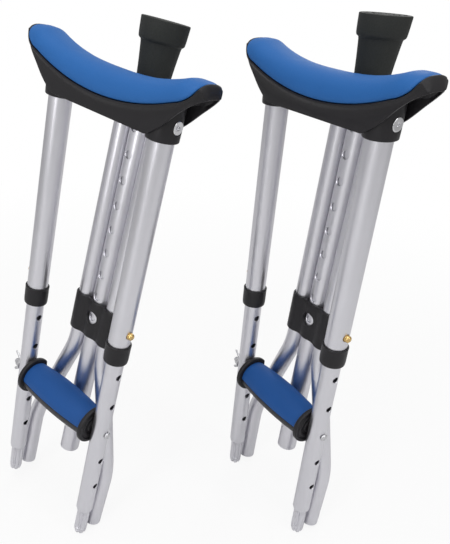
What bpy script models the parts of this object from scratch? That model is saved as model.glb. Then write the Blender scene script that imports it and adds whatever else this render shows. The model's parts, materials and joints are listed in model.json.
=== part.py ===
import math

import bmesh
import bpy
from mathutils import Matrix, Quaternion, Vector

# A pair of folding aluminium underarm crutches, folded and stood upright side by side.
# Each crutch is built in its own frame: X from the rear upright to the front one, Y towards the
# folded lower half, Z up, with z = 0 at the tips of the uprights.

MM = 0.001

# Clearances
GAP = 0.3 * MM
FIT = 0.35 * MM
HOLE_PLAY = 0.3 * MM

# How the pair stands
PAIR_DISTANCE = 275.6 * MM
PAIR_DIRECTION = math.radians(55)
LEFT_LEAN = math.radians(11)
LEAN_DIRECTION = math.radians(62)
TURN = math.radians(9.17)

# Uprights
UPRIGHT_SPACING = 126 * MM
WALL = 1.225 * MM
THIN_TUBE = 19.05 * MM
LOWER_TUBE_TOP = 345 * MM
UPPER_TUBE_TOP = 493 * MM
SPIGOT_LENGTH = 36 * MM
SPIGOT_RADIUS = 7.3 * MM
FLUTES = 6
FLUTE_RADIUS = 1.3 * MM
TAPER_LENGTH = 3 * MM

# Collars on the lower ends of the upper tubes
COLLAR_BOTTOM = 250.8 * MM
COLLAR_HEIGHT = 20.8 * MM
COLLAR_WALL = 1.5 * MM
COLLAR_LIP = 2 * MM

# Snap buttons
BUTTON_RADIUS = 3.6 * MM
BUTTON_TRAVEL = 4 * MM
BUTTON_LEFT_PROUD = 0.2 * MM
BUTTON_HEIGHT = 14.1 * MM
BUTTON_FLANGE = 1.2 * MM
BUTTON_DOME = ((0, 0), (0.5, 0.3 * MM), (0.87, 1.1 * MM), (1, 2.2 * MM))
BUTTON_SKIRT = 1.3
SPRING_THICKNESS = 0.6 * MM
SPRING_WIDTH = 6 * MM
SPRING_LENGTH = 34 * MM

# Saddle shell and its pad
SOCKET_BOTTOM = 471.5 * MM
SOCKET_WALL = 3.2 * MM
SHELL_BOTTOM = 475 * MM
SHELL_WALL = 2 * MM
SHELL_HALF_WIDTH = 17 * MM
RIM_PROUD = 3 * MM
SADDLE_LOW = 490 * MM
SADDLE_RADIUS = 215 * MM
OVERHANG = 40.5 * MM
HORN_LENGTH = 22 * MM
TAPER_RUN = 25 * MM
END_WIDTH = 0.25
PAD_THICKNESS = 22 * MM
PAD_END_RISE = 12.5 * MM
PAD_INSET = 7.5 * MM
SCREW_DROP = 8.2 * MM
SCREW_RADIUS = 2 * MM
SCREW_HEAD = 5.8 * MM
CROSS_WIDTH = 1.1 * MM
CROSS_DEPTH = 1.2 * MM
# Outlines as (share of the run, rise) points
HORN_RISE = (
    (0, 0),
    (0.4, 5.8 * MM),
    (0.64, 12 * MM),
    (0.76, 17.4 * MM),
    (0.83, 18.4 * MM),
    (0.91, 16.4 * MM),
    (0.97, 12.6 * MM),
    (1, 8.6 * MM),
)
EDGE_INSET = 4.7 * MM
EDGE_RISE = (
    (0, 0),
    (0.3, 10 * MM),
    (0.63, 25 * MM),
    (0.9, 35.6 * MM),
    (1, 38.2 * MM),
)

# Hand grip
GRIP_HEIGHT = 158 * MM
GRIP_PITCH = 38.1 * MM
GRIP_STEPS = 2
BOLT_RADIUS = 3 * MM
BOLT_HEAD = 4.2 * MM
HEAD_HEIGHT = 2.6 * MM
FLANGE_RADIUS = 21.5 * MM
FLANGE_THICKNESS = 5 * MM
CORE_RADIUS = 12 * MM
GRIP_RADIUS = 20 * MM
GRIP_CROWN = 3 * MM
GRIP_BACK = 15.6 * MM
SLEEVE_SWEEP = math.radians(182)
WASHER_THICKNESS = 1.2 * MM
WASHER_RADIUS = 6.3 * MM
NUT_HEIGHT = 6 * MM
NUT_RADIUS = 5.2 * MM
BOLT_END = 4 * MM
WING_SPAN = 26 * MM
WING_THICKNESS = 2.2 * MM

# Lower half, folded up behind the uprights
FOLD_OFFSET = 9.76 * MM
FOLD_HEIGHT = 1.56 * MM
FOLD_LEAN = math.radians(3.07)
PLUG_GAP = 2 * MM
BOW_TOP = 484 * MM
BEND_RADIUS = 100 * MM
BEND_ANGLE = math.radians(18)
BEND_TOP = 228 * MM
CENTRE_SETBACK = 2.4 * MM
CENTRE_BOTTOM = 72 * MM
CENTRE_TOP = 489.5 * MM
LEG_BOTTOM = 99 * MM
LEG_TOP = 541 * MM
LEG_BUTTON = 110.6 * MM
LEG_HOLE_TOP = 459.4 * MM
LEG_HOLE_PITCH = 25.4 * MM
LEG_HOLES = 9
BRACKET_BOTTOM = 232.5 * MM
BRACKET_HEIGHT = 43 * MM
BRACKET_WALL = 1.9 * MM
BRACKET_FACE = 1 * MM
WINDOW_RADIUS = 6.5 * MM
RIVET_RADIUS = 1.9 * MM
RIVET_HEAD = 4 * MM

# Rubber tip
TIP_GRIP = 41 * MM
TIP_RIM = 7 * MM
TIP_RADIUS = 22 * MM
TIP_NECK = 15.2 * MM
TIP_SOLE = 8.8 * MM
TIP_WASHER = 1.5 * MM

# Worked out from the sizes above
UPPER_BORE = THIN_TUBE / 2 + FIT
UPPER_RADIUS = UPPER_BORE + WALL
THIN_RADIUS = THIN_TUBE / 2
THIN_BORE = THIN_RADIUS - WALL
UPRIGHT_X = UPRIGHT_SPACING / 2
TIP_BOTTOM = LEG_TOP - TIP_GRIP
TIP_STEP = LEG_TOP - TIP_RIM
BUTTON_PROUD = BUTTON_TRAVEL + BUTTON_LEFT_PROUD
BUTTON_Z = COLLAR_BOTTOM + COLLAR_HEIGHT + BUTTON_HEIGHT
SOCKET_BORE = UPPER_RADIUS + GAP
SOCKET_RADIUS = SOCKET_BORE + SOCKET_WALL
SCREW_Z = UPPER_TUBE_TOP - SCREW_DROP
SADDLE_END = UPRIGHT_X + OVERHANG
CORE_HALF = UPRIGHT_X - THIN_RADIUS - GAP
SPREAD = UPRIGHT_X
NARROW = UPPER_RADIUS + THIN_RADIUS + GAP + 0.1 * MM
BOW_BOTTOM = FOLD_HEIGHT + PLUG_GAP

SIDES = 16
SMALL_SIDES = 8

MATERIALS = {
    "satin_aluminium": ((0.66, 0.67, 0.70, 1), 1.0, 0.34),
    "chrome": ((0.78, 0.78, 0.80, 1), 1.0, 0.12),
    "brass": ((0.62, 0.45, 0.20, 1), 1.0, 0.25),
    "zinc": ((0.60, 0.61, 0.63, 1), 1.0, 0.35),
    "spring_steel": ((0.35, 0.36, 0.38, 1), 1.0, 0.4),
    "black_plastic": ((0.016, 0.016, 0.018, 1), 0.0, 0.45),
    "blue_pad": ((0.032, 0.135, 0.39, 1), 0.0, 0.6),
    "blue_grip": ((0.012, 0.084, 0.31, 1), 0.0, 0.55),
    "black_rubber": ((0.02, 0.02, 0.02, 1), 0.0, 0.8),
}


def clear_scene():
    for obj in list(bpy.data.objects):
        bpy.data.objects.remove(obj, do_unlink=True)


def collection(name):
    made = bpy.data.collections.new(name)
    bpy.context.scene.collection.children.link(made)
    return made


def material(name):
    found = bpy.data.materials.get(name)
    if found:
        return found
    colour, metallic, roughness = MATERIALS[name]
    made = bpy.data.materials.new(name)
    made.use_nodes = True
    made.diffuse_color = colour
    shader = made.node_tree.nodes["Principled BSDF"]
    shader.inputs["Base Color"].default_value = colour
    shader.inputs["Metallic"].default_value = metallic
    shader.inputs["Roughness"].default_value = roughness
    return made


def empty(name, parent=None, location=(0, 0, 0)):
    made = bpy.data.objects.new(name, None)
    made.parent = parent
    made.location = location
    PARTS.objects.link(made)
    return made


def place(obj, parent, location=(0, 0, 0), rotation=(0, 0, 0)):
    obj.parent = parent
    obj.location = location
    obj.rotation_euler = rotation
    return obj


def part(name, mesh, finish):
    made = bpy.data.objects.new(name, mesh)
    mesh.materials.append(material(finish))
    PARTS.objects.link(made)
    return made


def tool(name, mesh):
    made = bpy.data.objects.new(name + "_cutter", mesh)
    made.hide_render = True
    made.display_type = "WIRE"
    CUTTERS.objects.link(made)
    return made


def combine(obj, other, operation="DIFFERENCE"):
    modifier = obj.modifiers.new(operation.lower(), "BOOLEAN")
    modifier.operation = operation
    modifier.solver = "EXACT"
    modifier.object = other


def profile_mesh(name, profile, closed):
    # A profile in the XZ plane, as (radius, height) points, its outside running top to bottom
    mesh = bpy.data.meshes.new(name)
    edges = [(i, i + 1) for i in range(len(profile) - 1)]
    if closed:
        edges.append((len(profile) - 1, 0))
    mesh.from_pydata([(radius, 0, height) for radius, height in profile], edges, [])
    return mesh


def screw(obj, steps):
    modifier = obj.modifiers.new("turned", "SCREW")
    modifier.axis = "Z"
    modifier.steps = steps
    modifier.render_steps = steps
    modifier.use_merge_vertices = True
    modifier.merge_threshold = 0.00001
    modifier.use_smooth_shade = False


def turned(name, profile, finish, closed=True, steps=SIDES):
    made = part(name, profile_mesh(name, profile, closed), finish)
    screw(made, steps)
    return made


def turned_tool(name, profile, steps=SMALL_SIDES):
    made = tool(name, profile_mesh(name, profile, False))
    screw(made, steps)
    return made


def bmesh_to_mesh(name, shape):
    bmesh.ops.recalc_face_normals(shape, faces=shape.faces)
    mesh = bpy.data.meshes.new(name)
    shape.to_mesh(mesh)
    shape.free()
    return mesh


def add_rod(shape, radius, start, end, sides=SMALL_SIDES):
    start = Vector(start)
    end = Vector(end)
    along = end - start
    turn = Vector((0, 0, 1)).rotation_difference(along).to_matrix().to_4x4()
    bmesh.ops.create_cone(
        shape,
        cap_ends=True,
        segments=sides,
        radius1=radius,
        radius2=radius,
        depth=along.length,
        matrix=Matrix.Translation((start + end) / 2) @ turn,
    )


def box_tool(name, size, centre):
    shape = bmesh.new()
    matrix = Matrix.Translation(centre) @ Matrix.Diagonal((*size, 1))
    bmesh.ops.create_cube(shape, size=1, matrix=matrix)
    return tool(name, bmesh_to_mesh(name, shape))


def rods_tool(name, rods, sides=SMALL_SIDES):
    shape = bmesh.new()
    for radius, start, end in rods:
        add_rod(shape, radius, start, end, sides)
    return tool(name, bmesh_to_mesh(name, shape))


def tube_profile(outer, bore, bottom, top):
    return [(bore, top), (outer, top), (outer, bottom), (bore, bottom)]


def tube_between(radius, bore, bottom, top, name):
    return turned(name, tube_profile(radius, bore, bottom, top), "satin_aluminium")


def upright_x(side):
    return side * UPRIGHT_X


def facing(side):
    # Turns an object's own Z to the outside of an upright
    return (0, side * math.pi / 2, 0)


def upper_tube(name, side, parent):
    bottom = COLLAR_BOTTOM + COLLAR_LIP + GAP
    made = tube_between(UPPER_RADIUS, UPPER_BORE, bottom, UPPER_TUBE_TOP, name)
    place(made, parent, (upright_x(side), 0, 0))
    reach = UPPER_RADIUS * 1.5 * side
    holes = rods_tool(
        name,
        [
            (BUTTON_RADIUS + HOLE_PLAY, (0, 0, BUTTON_Z), (reach, 0, BUTTON_Z)),
            (SCREW_RADIUS + HOLE_PLAY, (0, 0, SCREW_Z), (reach, 0, SCREW_Z)),
        ],
    )
    place(holes, parent, (upright_x(side), 0, 0))
    combine(made, holes)


def collar(name, side, parent):
    outer = UPPER_RADIUS + GAP + COLLAR_WALL
    seat = UPPER_RADIUS + GAP
    guide = THIN_RADIUS + FIT
    top = COLLAR_BOTTOM + COLLAR_HEIGHT
    lip = COLLAR_BOTTOM + COLLAR_LIP
    edge = 0.7 * MM
    profile = [
        (seat, top),
        (outer - edge, top),
        (outer, top - edge),
        (outer, COLLAR_BOTTOM),
        (guide, COLLAR_BOTTOM),
        (guide, lip),
        (seat, lip),
    ]
    made = turned(name, profile, "black_plastic")
    place(made, parent, (upright_x(side), 0, 0))


def lower_tube(name, side, parent):
    shoulder = SPIGOT_LENGTH + TAPER_LENGTH
    profile = [
        (0, shoulder + WALL),
        (THIN_BORE, shoulder + WALL),
        (THIN_BORE, LOWER_TUBE_TOP),
        (THIN_RADIUS, LOWER_TUBE_TOP),
        (THIN_RADIUS, shoulder),
        (SPIGOT_RADIUS, SPIGOT_LENGTH),
        (SPIGOT_RADIUS, 0.08 * SPIGOT_LENGTH),
        (SPIGOT_RADIUS * 0.6, 0),
        (0, 0),
    ]
    made = turned(name, profile, "satin_aluminium", closed=False)
    place(made, parent, (upright_x(side), 0, 0))
    through = THIN_RADIUS * 1.5
    rods = []
    for step in range(-GRIP_STEPS, GRIP_STEPS + 1):
        height = GRIP_HEIGHT + step * GRIP_PITCH
        rods.append((BOLT_RADIUS + HOLE_PLAY, (-through, 0, height), (through, 0, height)))
    rods.append((BUTTON_RADIUS + HOLE_PLAY, (0, 0, BUTTON_Z), (side * through, 0, BUTTON_Z)))
    holes = rods_tool(name, rods)
    place(holes, parent, (upright_x(side), 0, 0))
    combine(made, holes)
    flutes = []
    for flute in range(FLUTES):
        angle = math.tau * flute / FLUTES
        x = SPIGOT_RADIUS * 1.06 * math.cos(angle)
        y = SPIGOT_RADIUS * 1.06 * math.sin(angle)
        top = SPIGOT_LENGTH * 0.86
        flutes.append((FLUTE_RADIUS, (x, y, -SPIGOT_LENGTH * 0.1), (x, y, top)))
    grooves = rods_tool(name + "_flutes", flutes, 6)
    place(grooves, parent, (upright_x(side), 0, 0))
    combine(made, grooves)


def button_profile(tube_radius, tube_bore):
    # The button's flange sits inside the tube's bore and its dome stands out of the outer tube
    skirt = BUTTON_RADIUS * BUTTON_SKIRT
    seat = math.sqrt(tube_bore**2 - skirt**2) * 0.95
    top = tube_radius + BUTTON_PROUD
    dome = [(BUTTON_RADIUS * share, top - drop) for share, drop in BUTTON_DOME]
    return dome + [
        (BUTTON_RADIUS, seat),
        (skirt, seat),
        (skirt, seat - BUTTON_FLANGE),
        (0, seat - BUTTON_FLANGE),
    ]


def spring_mesh(name, near, far):
    # A leaf spring bent into a V: it runs behind the button, down the tube and back up
    shape = bmesh.new()
    half = SPRING_WIDTH / 2
    path = [
        (near, BUTTON_RADIUS * 1.5),
        (near, -BUTTON_RADIUS * 1.5),
        ((near * 2 + far) / 3, -SPRING_LENGTH * 0.9),
        ((near + far) / 2, -SPRING_LENGTH),
        ((near + far * 2) / 3, -SPRING_LENGTH * 0.95),
        (far, -SPRING_LENGTH * 0.6),
        (far, BUTTON_RADIUS * 1.5),
    ]
    rows = [
        (shape.verts.new((x, -half, z)), shape.verts.new((x, half, z)))
        for x, z in path
    ]
    for low, high in zip(rows, rows[1:]):
        shape.faces.new((low[0], low[1], high[1], high[0]))
    mesh = bpy.data.meshes.new(name)
    shape.to_mesh(mesh)
    shape.free()
    return mesh


def snap_button(name, spring_name, tube_radius, finish, parents, location, rotation, spring_turn):
    profile = button_profile(tube_radius, THIN_BORE)
    button = turned(name, profile, finish, closed=False, steps=SMALL_SIDES)
    place(button, parents[0], location, rotation)
    near = profile[-1][1] - GAP - SPRING_THICKNESS
    reach = (THIN_BORE * 0.98) ** 2 - (SPRING_WIDTH / 2) ** 2
    far = -math.sqrt(reach) + GAP + SPRING_THICKNESS
    spring = part(spring_name, spring_mesh(spring_name, near, far), "spring_steel")
    place(spring, parents[1], location, spring_turn)
    solid = spring.modifiers.new("thickness", "SOLIDIFY")
    solid.thickness = SPRING_THICKNESS
    solid.offset = 0


def saddle_screw(name, side, parent):
    head = SOCKET_RADIUS
    profile = [
        (0, head),
        (SCREW_HEAD, head),
        (SCREW_HEAD, head - 0.4 * MM),
        (SCREW_RADIUS, head - 2.2 * MM),
        (SCREW_RADIUS, UPPER_BORE - 3 * MM),
        (0, UPPER_BORE - 5 * MM),
    ]
    made = turned(name, profile, "chrome", closed=False, steps=12)
    place(made, parent, (upright_x(side), 0, SCREW_Z), facing(side))
    bars = (
        ("_slot", (SCREW_HEAD, CROSS_WIDTH, CROSS_DEPTH * 2)),
        ("_bar", (CROSS_WIDTH, SCREW_HEAD, CROSS_DEPTH * 2)),
    )
    for word, size in bars:
        bar = box_tool(name + word, size, (0, 0, head))
        place(bar, parent, (upright_x(side), 0, SCREW_Z), facing(side))
        combine(made, bar)


def between(table, x):
    # Reads a height off a short outline of (x, height) points
    for (x0, z0), (x1, z1) in zip(table, table[1:]):
        if x <= x1:
            return z0 + (z1 - z0) * (x - x0) / (x1 - x0)
    return table[-1][1]


def saddle_height(x):
    # The seat is an arc along the crutch that turns up into a rounded horn at each end
    start = SADDLE_END - HORN_LENGTH
    rise = SADDLE_RADIUS - math.sqrt(SADDLE_RADIUS**2 - min(x, start) ** 2)
    return SADDLE_LOW + rise + between(HORN_RISE, max(0, (x - start) / HORN_LENGTH))


def shell_edge(x):
    # The lower edge is level between the uprights and slants up to the tips of the horns
    foot = UPRIGHT_X - EDGE_INSET
    run = SADDLE_END - foot
    return SHELL_BOTTOM + between(EDGE_RISE, max(0, (x - foot) / run))


def end_taper(x):
    # Rounds the horns in plan, down to a narrow tip
    share = max(0, 1 - (SADDLE_END - x) / TAPER_RUN)
    return math.sqrt(1 - (1 - END_WIDTH**2) * share**2)


def shell_section(x):
    seat = saddle_height(x)
    edge = shell_edge(x)
    depth = min(5.5 * MM, (seat - edge) * 0.5)
    rim = SHELL_HALF_WIDTH + RIM_PROUD
    half = [
        (SHELL_HALF_WIDTH, edge),
        (SHELL_HALF_WIDTH, seat - depth),
        (rim - 1.6 * MM, seat - depth * 0.55),
        (rim, seat - depth * 0.22),
        (rim - 1.2 * MM, seat),
    ]
    half = [(y * end_taper(x), z) for y, z in half]
    return half + [(0, seat)] + [(-y, z) for y, z in reversed(half)]


def cavity_section(x):
    # The hollow under the seat, which leaves the walls and runs out below them
    width = SHELL_HALF_WIDTH * end_taper(x) - SHELL_WALL
    top = saddle_height(x) - SHELL_WALL
    bottom = shell_edge(x) - SHELL_WALL
    return [(width, bottom), (width, top), (-width, top), (-width, bottom)]


def shell_stations():
    start = SADDLE_END - HORN_LENGTH
    stations = [start * share for share in (0, 0.2, 0.42, 0.63, 0.82, 1)]
    return stations + [start + HORN_LENGTH * share for share, rise in HORN_RISE[1:]]


def both_ends(sections):
    # Repeats sections that run from the middle to one end towards the other end
    return [(-x, section) for x, section in reversed(sections[1:])] + sections


def loft_mesh(name, sections):
    # Joins closed sections, given as (x, points), and closes both ends
    shape = bmesh.new()
    rows = []
    for x, section in sections:
        rows.append([shape.verts.new((x, y, z)) for y, z in section])
    count = len(rows[0])
    for left, right in zip(rows, rows[1:]):
        for i in range(count):
            j = (i + 1) % count
            shape.faces.new((left[i], right[i], right[j], left[j]))
    shape.faces.new(rows[0])
    shape.faces.new(rows[-1])
    return bmesh_to_mesh(name, shape)


def saddle_shell(name, parent):
    outside = [(x, shell_section(x)) for x in shell_stations()]
    made = part(name, loft_mesh(name, both_ends(outside)), "black_plastic")
    place(made, parent)
    inside = [(x, cavity_section(x)) for x in shell_stations()[:-1]]
    cavity = tool(name + "_cavity", loft_mesh(name + "_cavity", both_ends(inside)))
    place(cavity, parent)
    combine(made, cavity)
    for side in (-1, 1):
        combine(made, socket_tool(name, side, parent), "UNION")
    for side in (-1, 1):
        bore = rods_tool(
            name + "_bore",
            [(SOCKET_BORE, (0, 0, SOCKET_BOTTOM * 0.9), (0, 0, UPPER_TUBE_TOP + GAP))],
            SIDES,
        )
        place(bore, parent, (upright_x(side), 0, 0))
        combine(made, bore)
        sink = turned_tool(
            name + "_sink",
            [
                (0, SOCKET_RADIUS * 1.4),
                (SCREW_HEAD + GAP, SOCKET_RADIUS * 1.4),
                (SCREW_HEAD + GAP, SOCKET_RADIUS - 0.7 * MM),
                (SCREW_RADIUS + HOLE_PLAY, SOCKET_RADIUS - 2.5 * MM),
                (SCREW_RADIUS + HOLE_PLAY, UPPER_BORE),
                (0, UPPER_BORE),
            ],
            12,
        )
        place(sink, parent, (upright_x(side), 0, SCREW_Z), facing(side))
        combine(made, sink)


def socket_tool(name, side, parent):
    # A socket post whose top follows the underside of the seat
    shape = bmesh.new()
    add_rod(shape, SOCKET_RADIUS, (0, 0, SOCKET_BOTTOM), (0, 0, SADDLE_LOW), SIDES)
    for vert in shape.verts:
        if vert.co.z > (SOCKET_BOTTOM + SADDLE_LOW) / 2:
            vert.co.z = saddle_height(UPRIGHT_X + side * vert.co.x) - SHELL_WALL / 2
    post = tool(name + "_socket", bmesh_to_mesh(name, shape))
    return place(post, parent, (upright_x(side), 0, 0))


def pad_crown(x):
    reach = SADDLE_END - HORN_LENGTH
    return SADDLE_LOW + PAD_THICKNESS + PAD_END_RISE * min(1.02, x / reach) ** 2.6


def pad_section(x, share):
    # Flat underneath, full at the sides and crowned on top
    low = saddle_height(x) + GAP
    high = low + (pad_crown(x) - low) * share
    tall = high - low
    wide = (SHELL_HALF_WIDTH + RIM_PROUD) * (0.55 + 0.45 * share) * end_taper(x)
    half = [
        (wide * 0.97, low),
        (wide * 1.06, low + tall * 0.3),
        (wide * 0.88, low + tall * 0.78),
        (wide * 0.5, low + tall * 1.02),
    ]
    return half + [(0, high + tall * 0.05)] + [(-y, z) for y, z in reversed(half)] + [(0, low)]


def underarm_pad(name, parent):
    end = SADDLE_END - PAD_INSET
    stations = [(0, 1), (0.35, 1), (0.65, 1), (0.84, 1), (0.95, 1), (1, 0.8)]
    sections = [(end * share, pad_section(end * share, size)) for share, size in stations]
    made = part(name, loft_mesh(name, both_ends(sections)), "blue_pad")
    place(made, parent)
    smooth = made.modifiers.new("soft", "SUBSURF")
    smooth.levels = 1
    smooth.render_levels = 1


def barrel(length, radius, crown, steps):
    # Points down a barrel: fullest in the middle, drawn in at both ends
    points = []
    for step in range(steps + 1):
        share = 1 - 2 * step / steps
        points.append((radius - crown * share**2, length / 2 * share))
    return points


def sector(name, profile, start, sweep, steps):
    # A closed profile swept part of the way round Z
    shape = bmesh.new()
    verts = [shape.verts.new((r * math.cos(start), r * math.sin(start), z)) for r, z in profile]
    face = shape.faces.new(verts)
    bmesh.ops.spin(
        shape,
        geom=list(shape.verts) + list(shape.edges) + [face],
        axis=(0, 0, 1),
        cent=(0, 0, 0),
        angle=sweep,
        steps=steps,
        use_duplicate=False,
    )
    return bmesh_to_mesh(name, shape)


def grip_turn():
    # The grip's own Z lies along the bolt, and its own -X points up
    return (0, math.pi / 2, 0)


def flatten_back(made, parent):
    # The folded lower half passes behind this flat
    depth = FLANGE_RADIUS
    size = (2 * UPRIGHT_X, depth, 4 * FLANGE_RADIUS)
    flat = box_tool(made.name + "_flat", size, (0, GRIP_BACK + depth / 2, GRIP_HEIGHT))
    place(flat, parent)
    combine(made, flat)


def grip_core(name, parent):
    inner = CORE_HALF - FLANGE_THICKNESS
    bore = BOLT_RADIUS + HOLE_PLAY
    edge = 0.8 * MM
    ring = 0.8 * MM
    half = [
        (bore, CORE_HALF),
        (FLANGE_RADIUS * 0.5, CORE_HALF),
        (FLANGE_RADIUS * 0.55, CORE_HALF - ring),
        (FLANGE_RADIUS * 0.68, CORE_HALF - ring),
        (FLANGE_RADIUS * 0.73, CORE_HALF),
        (FLANGE_RADIUS - edge, CORE_HALF),
        (FLANGE_RADIUS, CORE_HALF - edge),
        (FLANGE_RADIUS, inner + edge),
        (FLANGE_RADIUS - edge, inner),
        (CORE_RADIUS, inner),
    ]
    profile = half + [(r, -z) for r, z in reversed(half)]
    made = turned(name, profile, "black_plastic", steps=16)
    place(made, parent, (0, 0, GRIP_HEIGHT), grip_turn())
    outer = barrel(2 * inner + 1 * MM, GRIP_RADIUS, GRIP_CROWN, 6)
    low = [(CORE_RADIUS - 1 * MM, -inner - 0.5 * MM), (CORE_RADIUS - 1 * MM, inner + 0.5 * MM)]
    clear = GAP * 1.5 / GRIP_RADIUS
    sweep = math.tau - SLEEVE_SWEEP - 2 * clear
    ridge = tool(name, sector(name, outer + low, -sweep / 2, sweep, 8))
    place(ridge, parent, (0, 0, GRIP_HEIGHT), grip_turn())
    combine(made, ridge, "UNION")
    flatten_back(made, parent)


def grip_sleeve(name, parent):
    length = 2 * (CORE_HALF - FLANGE_THICKNESS - GAP)
    outer = barrel(length, GRIP_RADIUS, GRIP_CROWN, 6)
    bore = CORE_RADIUS + GAP
    profile = outer + [(bore, -length / 2), (bore, length / 2)]
    start = math.pi - SLEEVE_SWEEP / 2
    made = part(name, sector(name, profile, start, SLEEVE_SWEEP, 14), "blue_grip")
    place(made, parent, (0, 0, GRIP_HEIGHT), grip_turn())
    flatten_back(made, parent)


def grip_bolt(name, parent):
    seat = washer_seat()
    end = seat + WASHER_THICKNESS + NUT_HEIGHT + BOLT_END
    profile = [
        (0, seat + HEAD_HEIGHT),
        (BOLT_HEAD * 0.6, seat + HEAD_HEIGHT * 0.9),
        (BOLT_HEAD, seat + HEAD_HEIGHT * 0.4),
        (BOLT_HEAD, seat),
        (BOLT_RADIUS, seat),
        (BOLT_RADIUS, -end + 0.6 * MM),
        (BOLT_RADIUS - 0.6 * MM, -end),
        (0, -end),
    ]
    made = turned(name, profile, "zinc", closed=False, steps=12)
    place(made, parent, (0, 0, GRIP_HEIGHT), grip_turn())


def washer_seat():
    return UPRIGHT_X + THIN_RADIUS + GAP


def grip_washer(name, parent):
    low = washer_seat()
    high = low + WASHER_THICKNESS
    profile = tube_profile(WASHER_RADIUS, BOLT_RADIUS + HOLE_PLAY, -high, -low)
    made = turned(name, profile, "zinc", steps=12)
    place(made, parent, (0, 0, GRIP_HEIGHT), grip_turn())


def wing_nut(name, parent):
    seat = washer_seat() + WASHER_THICKNESS + GAP
    bore = BOLT_RADIUS + HOLE_PLAY
    profile = tube_profile(NUT_RADIUS, bore, -NUT_HEIGHT, 0)
    made = turned(name, profile, "zinc", steps=16)
    place(made, parent, (-seat, 0, GRIP_HEIGHT), grip_turn())
    root = NUT_RADIUS - 0.6 * MM
    tip = WING_SPAN / 2
    outline = [
        (root, -NUT_HEIGHT * 0.07),
        (tip * 0.58, -NUT_HEIGHT * 0.27),
        (tip, -NUT_HEIGHT * 1.25),
        (tip * 0.92, -NUT_HEIGHT * 1.75),
        (tip * 0.69, -NUT_HEIGHT * 1.7),
        (root, -NUT_HEIGHT * 0.92),
    ]
    for side in (-1, 1):
        curve = bpy.data.curves.new(name + "_wing", "CURVE")
        curve.dimensions = "2D"
        curve.fill_mode = "BOTH"
        curve.render_resolution_u = 0
        curve.extrude = WING_THICKNESS / 2
        spline = curve.splines.new("POLY")
        spline.points.add(len(outline) - 1)
        for point, (x, y) in zip(spline.points, outline):
            point.co = (side * x, y, 0, 1)
        spline.use_cyclic_u = True
        holder = bpy.data.objects.new(name + "_wing_curve", curve)
        mesh = curve_to_mesh(name, holder)
        mesh.transform(Matrix.Rotation(math.pi / 2, 4, "X"))
        wing = tool(name + "_wing", mesh)
        place(wing, parent, (-seat, 0, GRIP_HEIGHT), grip_turn())
        combine(made, wing, "UNION")


def curve_to_mesh(name, holder):
    # The holder is read through the depsgraph, then dropped
    CUTTERS.objects.link(holder)
    graph = bpy.context.evaluated_depsgraph_get()
    mesh = bpy.data.meshes.new_from_object(holder.evaluated_get(graph))
    shape = bmesh.new()
    shape.from_mesh(mesh)
    bmesh.ops.remove_doubles(shape, verts=shape.verts, dist=0.00001)
    bmesh.ops.recalc_face_normals(shape, faces=shape.faces)
    shape.to_mesh(mesh)
    shape.free()
    bpy.data.objects.remove(holder, do_unlink=True)
    mesh.name = name
    return mesh


def bow_path(side, bottom, top):
    # Straight down from the top, an S-bend outwards, then straight to the end that takes a spigot
    offset = 2 * BEND_RADIUS * (1 - math.cos(BEND_ANGLE))
    slope = (SPREAD - NARROW - offset) / math.sin(BEND_ANGLE)
    points = [(NARROW, top)]
    steps = 3
    for step in range(steps + 1):
        angle = BEND_ANGLE * step / steps
        x = NARROW + BEND_RADIUS * (1 - math.cos(angle))
        points.append((x, BEND_TOP - BEND_RADIUS * math.sin(angle)))
    last_x, last_z = points[-1]
    x = last_x + slope * math.sin(BEND_ANGLE)
    z = last_z - slope * math.cos(BEND_ANGLE)
    for step in range(steps + 1):
        angle = BEND_ANGLE * (1 - step / steps)
        along = BEND_RADIUS * (math.sin(BEND_ANGLE) - math.sin(angle))
        across = BEND_RADIUS * (math.cos(angle) - math.cos(BEND_ANGLE))
        points.append((x + across, z - along))
    points.append((SPREAD, bottom))
    return [(side * x, FOLD_OFFSET, z) for x, z in points]


def pipe_mesh(name, points, radius, resolution):
    curve = bpy.data.curves.new(name, "CURVE")
    curve.dimensions = "3D"
    curve.bevel_depth = radius
    curve.bevel_resolution = resolution
    curve.use_fill_caps = True
    curve.render_resolution_u = 0
    spline = curve.splines.new("POLY")
    spline.points.add(len(points) - 1)
    for point, place_at in zip(spline.points, points):
        point.co = (*place_at, 1)
    return curve_to_mesh(name, bpy.data.objects.new(name + "_curve", curve))


def bow_tube(name, side, parent):
    outer = pipe_mesh(name, bow_path(side, BOW_BOTTOM, BOW_TOP), THIN_RADIUS, 5)
    made = part(name, outer, "satin_aluminium")
    place(made, parent)
    longer = 5 * MM
    path = bow_path(side, BOW_BOTTOM - longer, BOW_TOP + longer)
    bore = tool(name, pipe_mesh(name + "_bore", path, THIN_BORE, 3))
    place(bore, parent)
    combine(made, bore)
    height = rivet_height()
    hole = rods_tool(
        name + "_rivet",
        [
            (
                RIVET_RADIUS + HOLE_PLAY,
                (side * NARROW, FOLD_OFFSET, height),
                (side * NARROW, FOLD_OFFSET + THIN_TUBE, height),
            )
        ],
        8,
    )
    place(hole, parent)
    combine(made, hole)


def rivet_height():
    return BRACKET_BOTTOM + BRACKET_HEIGHT / 2


def centre_y():
    return FOLD_OFFSET + CENTRE_SETBACK


def centre_tube(name, parent):
    made = tube_between(UPPER_RADIUS, UPPER_BORE, CENTRE_BOTTOM, CENTRE_TOP, name)
    place(made, parent, (0, centre_y(), 0))
    heights = [LEG_HOLE_TOP - LEG_HOLE_PITCH * step for step in range(LEG_HOLES)]
    heights.append(LEG_BUTTON)
    rods = []
    for height in heights:
        rods.append((BUTTON_RADIUS + HOLE_PLAY, (0, 0, height), (0, -UPPER_RADIUS * 1.5, height)))
    holes = rods_tool(name, rods)
    place(holes, parent, (0, centre_y(), 0))
    combine(made, holes)


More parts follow.
